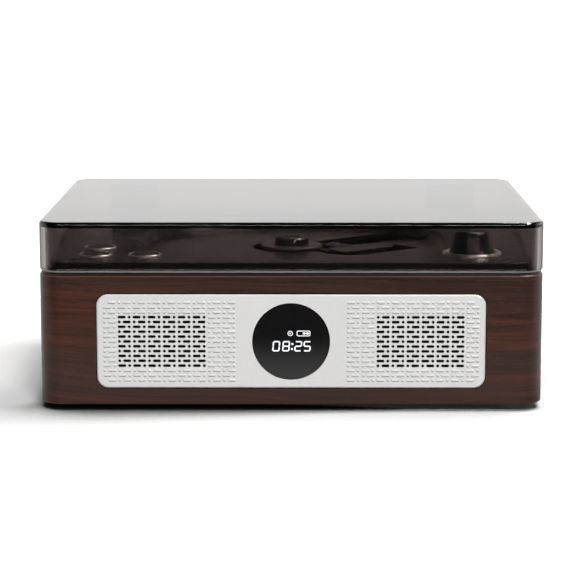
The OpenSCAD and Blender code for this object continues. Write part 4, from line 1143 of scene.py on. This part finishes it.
@dataclass
class FrontPanel(Assembly):
    """The painted panel and its grille pattern, pierced in the middle and embossed round it."""

    rows: int = 11
    periods: int = 6
    rows_beyond: int = 3
    outer_periods: int = 1
    inner_periods: int = 2
    row_pitch: float = 2.0 * MM
    period: float = 6.06 * MM
    block_w: float = 35.53 * MM
    block_x: float = 52.4 * MM
    bump_corners: int = 12
    dot_d: float = 1.2 * MM
    dash_w: float = 1.15 * MM
    dash_l: float = 3.2 * MM
    bump_h: float = 0.30 * MM
    sunk: float = 0.10 * MM
    slope: float = 0.24 * MM
    toe: float = 0.024 * MM
    dot_row: tuple[tuple[str, float], ...] = (("dot", 0.60 * MM), ("dash", 3.63 * MM))
    dash_row: tuple[tuple[str, float], ...] = (("dash", 1.60 * MM), ("dot", 4.63 * MM))

    def __post_init__(self) -> None:
        """Names the finishes of the front's nodes."""
        low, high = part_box("front_panel")
        self.finishes = {
            "front_panel": PanelPaintWithHoleShade("panel_paint_with_hole_shade", PANEL_SILVER, low, high),
            "grille_cloth": CLOTH, "speaker_baffle": BLACK_SHELL, "front_screws": ZINC,
        }

    def build(self) -> list[bpy.types.Object]:
        """Models the embossed bumps on both sides."""
        return [self._block(side) for side in Side]

    def _bump(self, name: str, width: float, length: float) -> bpy.types.Object:
        """Models one raised bump, whose base lies behind the panel's face.

        Args:
            name: The model's name.
            width: Its width across.
            length: Its length along X, the same as the width for a dot.

        Returns:
            The bump, with its base's middle at the origin and facing the front.
        """
        half_step = Matrix.Rotation(math.pi / self.bump_corners, 3, "Y")
        turn = half_step @ Matrix.Rotation(math.pi / 2, 3, "X")
        bump = Bench.start(name, bpy.ops.mesh.primitive_cylinder_add,
                           vertices=self.bump_corners, radius=width / 2,
                           depth=self.bump_h + self.sunk,
                           location=(0, (self.sunk - self.bump_h) / 2, 0),
                           rotation=turn.to_euler())
        Bench.pick(bump, "VERT", lambda at, _: at.x > 0)
        bpy.ops.transform.translate(value=(length - width, 0, 0))
        Bench.pick(bump, "FACE", lambda _, way: way.y < FRONT_FACING)
        bpy.ops.mesh.inset(thickness=self.slope, depth=0.0)
        Bench.pick(bump, "VERT", lambda at, _: at.y < 0)
        mesh = bmesh.from_edit_mesh(bump.data)
        for corner in mesh.verts:
            rim = sum(1 for edge in corner.link_edges if edge.other_vert(corner).co.y > 0)
            corner.select_set(corner.co.y < 0 and rim > 0)
        mesh.select_flush_mode()
        bmesh.update_edit_mesh(bump.data)
        bpy.ops.transform.translate(value=(0, self.bump_h - self.toe, 0))
        Bench.clear()
        bump.data.transform(Matrix.Translation((-(length - width) / 2, 0, 0)))
        return bump

    def _block(self, side: Side) -> bpy.types.Object:
        """Copies the dot and the dash to every embossed place of one side.

        Args:
            side: The side of the panel.

        Returns:
            The bumps of that side, as one piece.
        """
        low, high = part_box("front_panel")
        middle_z = 0.5 * (low.z + high.z)
        models = {"dot": self._bump("dot_bump", self.dot_d, self.dot_d),
                  "dash": self._bump("dash_bump", self.dash_w, self.dash_l)}
        parts = []
        last_row = self.rows + self.rows_beyond
        for row in range(-self.rows_beyond, last_row):
            dot_first = row % 2 == 1
            height = middle_z + ((self.rows - 1) / 2 - row) * self.row_pitch
            marks = self.dot_row if dot_first else self.dash_row
            for step in range(-self.outer_periods, self.periods + self.inner_periods):
                if 0 <= row < self.rows and 0 <= step < self.periods:
                    continue
                for kind, offset in marks:
                    corner = step == -self.outer_periods and kind == "dot" and dot_first
                    if corner and row in (-self.rows_beyond, last_row - 1):
                        continue
                    from_edge = step * self.period + offset
                    x = side.value * (self.block_x + self.block_w / 2 - from_edge)
                    place = Matrix.Translation((x, low.y, height))
                    parts.append(Bench.stamp(models[kind], f"{kind}_{len(parts)}", place))
        block = Bench.join(parts, f"grille_emboss_{side.name.lower()}")
        for model in models.values():
            Bench.drop(model)
        return self.finish_piece(block, EmbossPaint("emboss_paint_with_painted_shade", PANEL_SILVER), "cabinet",
                                 "silver_panel")


@dataclass
class Speakers(Assembly):
    """The two full-range drivers behind the grille."""

    def __post_init__(self) -> None:
        """Names the finishes of both drivers' nodes."""
        for side in Side:
            name = side.name.lower()
            self.finishes.update({f"speaker_basket_{name}": BASKET_PAINT,
                                  f"speaker_cone_{name}": PAPER,
                                  f"speaker_magnet_{name}": MAGNET})


@dataclass
class Display(Assembly):
    """The round black window with its lit time and battery sign."""

    segments_of: dict[str, str] = field(default_factory=lambda: {
        "0": "abcdef", "2": "abdeg", "5": "acdfg", "8": "abcdefg"})
    digit_w: float = 3.0 * MM
    digit_h: float = 4.3 * MM
    stroke: float = 0.52 * MM
    gap: float = 0.10 * MM
    slant: float = math.radians(5.0)
    proud: float = 0.03 * MM
    middle_z: float = -1.93 * MM
    digit_x: tuple[float, ...] = (-6.02 * MM, -2.02 * MM, 2.90 * MM, 6.52 * MM)
    shown: str = "0825"
    colon_x: float = 0.46 * MM
    colon_z: tuple[float, float] = (0.95 * MM, -1.15 * MM)
    spot_r: float = 0.42 * MM
    sign_z: float = 3.34 * MM
    battery_x: float = 5.04 * MM
    battery_w: float = 5.5 * MM
    battery_h: float = 2.3 * MM
    battery_corner: float = 0.55 * MM
    battery_line: float = 0.30 * MM
    charge_x: tuple[float, float] = (0.05 * MM, 1.40 * MM)
    ring_x: float = -0.35 * MM
    ring_d: float = 2.1 * MM
    ring_corner: float = 1.0 * MM
    ring_line: float = 0.28 * MM
    ring_hole_r: float = 0.30 * MM

    def __post_init__(self) -> None:
        """Names the finishes of the display's nodes."""
        self.finishes = {"display_lens": WINDOW, "display_digits": SATIN_BLACK,
                         "display_board": BoardLacquer("green_board_lacquer")}
        low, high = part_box("display_lens")
        self.face_y = low.y
        self.centre_z = 0.5 * (low.z + high.z)

    def build(self) -> list[bpy.types.Object]:
        """Models the time and the signs above it."""
        return [self._readout(), self._signs()]

    def _bar(self) -> bpy.types.Object:
        """Models one six-sided segment bar, level, with its back on the window's face.

        Returns:
            The bar, round the origin.
        """
        radius = self.stroke / 2 / math.cos(math.pi / 6)
        turn = Matrix.Rotation(math.pi / 6, 3, "Y") @ Matrix.Rotation(math.pi / 2, 3, "X")
        bar = Bench.start("segment_bar", bpy.ops.mesh.primitive_cylinder_add, vertices=6,
                          radius=radius, depth=self.proud, location=(0, -self.proud / 2, 0),
                          rotation=turn.to_euler())
        reach = self.digit_w - self.stroke - self.gap - 2 * radius
        for way in (-1, 1):
            Bench.pick(bar, "VERT", lambda at, _, way=way: at.x * way > 0)
            bpy.ops.transform.translate(value=(way * reach / 2, 0, 0))
        Bench.clear()
        return bar

    def _upright(self, bar: bpy.types.Object) -> bpy.types.Object:
        """Copies the bar, turned upright and stretched to half a digit's height.

        Args:
            bar: The level bar.

        Returns:
            The upright bar, round the origin.
        """
        upright = Bench.stamp(bar, "segment_upright", Matrix.Rotation(math.pi / 2, 4, "Y"))
        level = self.digit_w - self.stroke - self.gap
        reach = (self.digit_h - self.stroke) / 2 - self.gap - level
        for way in (-1, 1):
            Bench.pick(upright, "VERT", lambda at, _, way=way: at.z * way > 0)
            bpy.ops.transform.translate(value=(0, 0, way * reach / 2))
        Bench.clear()
        return upright

    def _at(self, x: float, z: float, lean: float = 0.0) -> Matrix:
        """Gives the place of a mark on the window's face, leaning by an angle."""
        return (Matrix.Translation((x, self.face_y, self.centre_z + z))
                @ Matrix.Rotation(lean, 4, "Y"))

    def _readout(self) -> bpy.types.Object:
        """Copies the bars into four digits and makes the colon.

        Returns:
            The digits and the colon, as one piece.
        """
        bar = self._bar()
        upright = self._upright(bar)
        side = (self.digit_w - self.stroke) / 2
        half = (self.digit_h - self.stroke) / 2
        places = {"a": (bar, 0, half), "d": (bar, 0, -half), "g": (bar, 0, 0),
                  "b": (upright, side, half / 2), "c": (upright, side, -half / 2),
                  "e": (upright, -side, -half / 2), "f": (upright, -side, half / 2)}
        parts = []
        for digit, middle in zip(self.shown, self.digit_x):
            for segment in self.segments_of[digit]:
                model, x, z = places[segment]
                shift = x + math.tan(self.slant) * z
                lean = self.slant if model is upright else 0.0
                place = self._at(middle + shift, self.middle_z + z, lean)
                parts.append(Bench.stamp(model, f"bar_{len(parts)}", place))
        for z in self.colon_z:
            spot = self._disc("colon_spot", self.spot_r)
            place = self._at(self.colon_x + math.tan(self.slant) * z, self.middle_z + z)
            spot.data.transform(place)
            parts.append(spot)
        readout = Bench.join(parts, "display_readout")
        Bench.drop(bar)
        Bench.drop(upright)
        return self.finish_piece(readout, LIT, "cabinet", "lens_glass")

    def _disc(self, name: str, radius: float) -> bpy.types.Object:
        """Models a thin round spot with its back on the window's face.

        Args:
            name: The model's name.
            radius: Its radius.

        Returns:
            The spot, round the origin.
        """
        spot = Bench.start(name, bpy.ops.mesh.primitive_cylinder_add, vertices=16,
                           radius=radius, depth=self.proud, location=(0, -self.proud / 2, 0),
                           rotation=(math.pi / 2, 0, 0))
        Bench.pick(spot, "FACE", lambda _, way: way.y < FRONT_FACING)
        bpy.ops.mesh.inset(thickness=radius * 0.2)
        Bench.clear()
        return spot

    def _outline(self, name: str, width: float, height: float, corner: float,
                 line: float) -> bpy.types.Object:
        """Models a thin outline of a rounded rectangle on the window's face.

        Args:
            name: The model's name.
            width: Its width.
            height: Its height.
            corner: The radius of its corners.
            line: The thickness of the line.

        Returns:
            The outline, round the origin.
        """
        sheet = Bench.start(name, bpy.ops.mesh.primitive_plane_add, size=1.0,
                            rotation=(math.pi / 2, 0, 0))
        sheet.data.transform(Matrix.Diagonal((width, 1.0, height, 1.0)))
        Bench.pick(sheet, "VERT", lambda *_: True)
        bpy.ops.mesh.bevel(offset=corner, segments=5, affect="VERTICES")
        bpy.ops.mesh.select_mode(type="FACE")
        bpy.ops.mesh.select_all(action="SELECT")
        bpy.ops.mesh.inset(thickness=line)
        bpy.ops.mesh.delete(type="FACE")
        bpy.ops.mesh.select_all(action="SELECT")
        bpy.ops.mesh.extrude_region_move(
            TRANSFORM_OT_translate={"value": (0, -self.proud, 0)})
        bpy.ops.mesh.select_all(action="SELECT")
        bpy.ops.mesh.normals_make_consistent(inside=False)
        Bench.clear()
        return sheet

    def _signs(self) -> bpy.types.Object:
        """Models the battery's outline with its bars, and a small disc sign.

        Returns:
            The signs, as one piece.
        """
        battery = self._outline("battery_outline", self.battery_w, self.battery_h,
                                self.battery_corner, self.battery_line)
        battery.data.transform(self._at(self.battery_x, self.sign_z))
        parts = [battery]
        for k, shift in enumerate(self.charge_x):
            charge = self._disc(f"charge_{k}", self.spot_r)
            Bench.pick(charge, "VERT", lambda at, _: at.x > 0.05 * MM)
            bpy.ops.transform.translate(value=(self.spot_r, 0, 0))
            Bench.clear()
            charge.data.transform(self._at(self.battery_x + shift, self.sign_z))
            parts.append(charge)
        ring = self._outline("disc_sign", self.ring_d, self.ring_d, self.ring_corner,
                             self.ring_line)
        hole = self._disc("disc_sign_middle", self.ring_hole_r)
        for part in (ring, hole):
            part.data.transform(self._at(self.ring_x, self.sign_z))
        parts += [ring, hole]
        signs = Bench.join(parts, "display_signs")
        return self.finish_piece(signs, LIT, "cabinet", "lens_glass")


@dataclass
class Deck(Assembly):
    """The black deck with its screws, plugs, buttons and volume dial."""

    def __post_init__(self) -> None:
        """Names the finishes of the deck's nodes."""
        self.finishes = {
            "deck_plate": DECK_BLACK, "deck_plugs": SATIN_BLACK, "deck_screws": ZINC,
            "button_cap_front": BUTTON_BLACK, "button_cap_rear": BUTTON_BLACK,
            "button_cap_inner": BUTTON_BLACK, "button_rings": CHROME,
            "key_board": BoardLacquer("green_board_lacquer"), "key_switches": SATIN_BLACK,
            "volume_knob": KNOB_BLACK, "knob_ring": CHROME, "volume_control": MAGNET,
            "volume_shaft": STEEL, "volume_nut": ZINC,
        }


@dataclass
class DiscMechanism(Assembly):
    """The spindle, the pickup's sled and its gears on their grey chassis."""

    def __post_init__(self) -> None:
        """Names the finishes of the mechanism's nodes."""
        self.finishes = {
            "mech_chassis": CHASSIS_GREY, "mech_dampers": RUBBER, "mech_screws": ZINC,
            "spindle_motor": STEEL, "spindle_shaft": STEEL, "spindle_hub": SATIN_BLACK,
            "turntable": FLANGE_GREY, "clamp_balls": STEEL, "pickup_sled": SATIN_BLACK,
            "pickup_lens": LENS_GLASS, "lens_cover": SATIN_BLACK, "guide_rods": STEEL,
            "sled_motor": STEEL, "motor_pinion": BRASS, "drive_gear": ACETAL,
        }


@dataclass
class Electronics(Assembly):
    """The amplifier board, its heatsink, the battery and the rear sockets."""

    board_t: float = 1.6 * MM
    cap_rim: float = 0.25 * MM
    cell_end: float = 1.0 * MM

    def __post_init__(self) -> None:
        """Reads the board's and the cells' heights from the frame."""
        low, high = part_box("main_board")
        cells_low, cells_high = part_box("battery_cells")
        self.finishes = {
            "main_board": BoardLacquer("main_board_lacquer", low.z + self.board_t + 0.1 * MM,
                                       high.z - self.cap_rim),
            "board_screws": ZINC, "amplifier_heatsink": FIN_ALLOY,
            "battery_cells": CellWrap("blue_cell_wrap", cells_low.y + self.cell_end,
                                      cells_high.y - self.cell_end),
            "battery_holder": BLACK_SHELL, "socket_plate": BLACK_SHELL,
            "audio_socket": SATIN_BLACK, "charge_socket": STEEL,
        }


@dataclass
class Lid(Assembly):
    """The smoked lid on its two friction hinges."""

    def __post_init__(self) -> None:
        """Names the finishes of the lid's and the hinges' nodes."""
        low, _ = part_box("lid")
        self.finishes = {
            "lid": SmokedSheet("smoked_acrylic", low), "hinge_bases": HINGE_BLACK,
            "hinge_arms": HINGE_BLACK, "hinge_pins": STEEL, "hinge_screws": ZINC,
            "clamp_screws": ZINC,
        }


# ---------------------------------------------------------------- studio


@dataclass(frozen=True)
class Lamp:
    """A soft rectangular lamp, with its place, its size, its watts and what it lights."""

    name: str
    at: Point
    size: tuple[float, float]
    power: float
    reach: Reach


@dataclass
class Studio:
    """The pale floor, the soft lamps, the surroundings and the camera."""

    lens_mm: float = 131.4
    clip: tuple[float, float] = (0.05, 50.0)
    sensor_mm: float = 36.0
    camera_at: Point = (0.0031, -0.9199, 0.1896)
    look_down: float = 0.1644
    roll: float = 0.0052
    floor_size: float = 14.0
    dome: float = 0.25
    gloss_gain: float = 1.13
    front_to_back: Step = (-0.45, 0.30, 0.03, 1.0)
    level_to_top: Step = (0.32, 0.66, 1.0, 0.06)
    left_fall: Step = (-0.90, -0.35, 0.85, 1.0)
    right_rise: Step = (0.35, 0.90, 1.0, 2.3)
    aim: Point = (0.0, 0.0, 0.03)
    lamps: tuple[Lamp, ...] = (
        Lamp("softbox_key", (0.55, 0.15, 1.12), (0.9, 0.35), 11.0, Reach.DULL),
        Lamp("softbox_front", (0.06, -1.12, 1.05), (0.55, 0.40), 17.0, Reach.DULL),
        Lamp("strip_right", (0.42, 0.10, 0.95), (1.3, 0.22), 24.0, Reach.GLOSS),
        Lamp("strip_low", (0.10, -1.30, 0.36), (1.8, 0.26), 9.5, Reach.GLOSS),
    )

    def camera(self) -> None:
        """Places the camera where the photograph was taken from."""
        made = bpy.data.cameras.new("viewpoint")
        made.lens, made.sensor_width = self.lens_mm, self.sensor_mm
        made.clip_start, made.clip_end = self.clip
        seat = bpy.data.objects.new("viewpoint", made)
        seat.location = self.camera_at
        seat.rotation_euler = (math.pi / 2 - self.look_down, 0.0, self.roll)
        bpy.context.scene.collection.objects.link(seat)
        bpy.context.scene.camera = seat

    def hang(self, lamp: Lamp) -> None:
        """Hangs one lamp, which looks at the object's middle.

        Args:
            lamp: The lamp.
        """
        made = bpy.data.lights.new(lamp.name, "AREA")
        made.shape, made.size, made.size_y = "RECTANGLE", *lamp.size
        made.energy = lamp.power
        hung = bpy.data.objects.new(lamp.name, made)
        hung.visible_diffuse, hung.visible_glossy = lamp.reach.value
        hung.visible_transmission = hung.visible_glossy
        hung.location = lamp.at
        way = Vector(self.aim) - Vector(lamp.at)
        hung.rotation_euler = way.to_track_quat("-Z", "Y").to_euler()
        bpy.context.scene.collection.objects.link(hung)

    def floor(self) -> None:
        """Lays the floor."""
        ground = Bench.start("floor", bpy.ops.mesh.primitive_plane_add, size=self.floor_size)
        Bench.pick(ground, "FACE", lambda *_: True)
        bpy.ops.mesh.subdivide(number_cuts=3)
        Bench.clear()
        dress(ground, FloorPaper("floor_paper"))

    def surroundings(self) -> None:
        """Makes the surroundings: white to the eye, and a gloss sees them behind the object."""
        world = bpy.data.worlds.new("surroundings")
        bpy.context.scene.world = world
        graph = Graph(world)
        x, y, z = graph.axes(graph.node("TexCoord").outputs["Generated"])
        backdrop = graph.product(graph.between(y, *self.front_to_back),
                                 graph.between(z, *self.level_to_top),
                                 graph.between(x, *self.left_fall),
                                 graph.between(x, *self.right_rise))
        path = graph.node("LightPath")
        level = graph.choose(path.outputs["Is Glossy Ray"], self.dome,
                             graph.product(backdrop, self.gloss_gain))
        level = graph.choose(path.outputs["Is Transmission Ray"], level, backdrop)
        level = graph.choose(path.outputs["Is Camera Ray"], level, 1.0)
        sky = graph.node("Background", {"Color": (1.0, 1.0, 1.0), "Strength": level})
        graph.node("OutputWorld", {"Surface": sky.outputs[0]})

    def set_up(self) -> None:
        """Sets up everything that stands around the object."""
        self.camera()
        self.floor()
        self.surroundings()
        for lamp in self.lamps:
            self.hang(lamp)


def main() -> None:
    """Builds the studio and the sub-assemblies in order, and reports each piece."""
    logging.basicConfig(level=logging.INFO, format="%(name)s: %(message)s", force=True)
    bpy.context.scene.view_settings.view_transform = "Standard"
    Studio().set_up()
    assemblies = [
        Housing("housing"), FrontPanel("front panel"), Speakers("speakers"),
        Display("display"), Deck("deck"), DiscMechanism("disc mechanism"),
        Electronics("electronics"), Lid("lid"),
    ]
    for assembly in assemblies:
        assembly.dress_nodes()
        for piece in assembly.build():
            log.info("%s: made %s, %d faces", assembly.title, piece.name,
                     len(piece.data.polygons))
        log.info("%s: dressed %d nodes", assembly.title, len(assembly.finishes))
    Bench.clear()


if __name__ == "__main__":
    main()
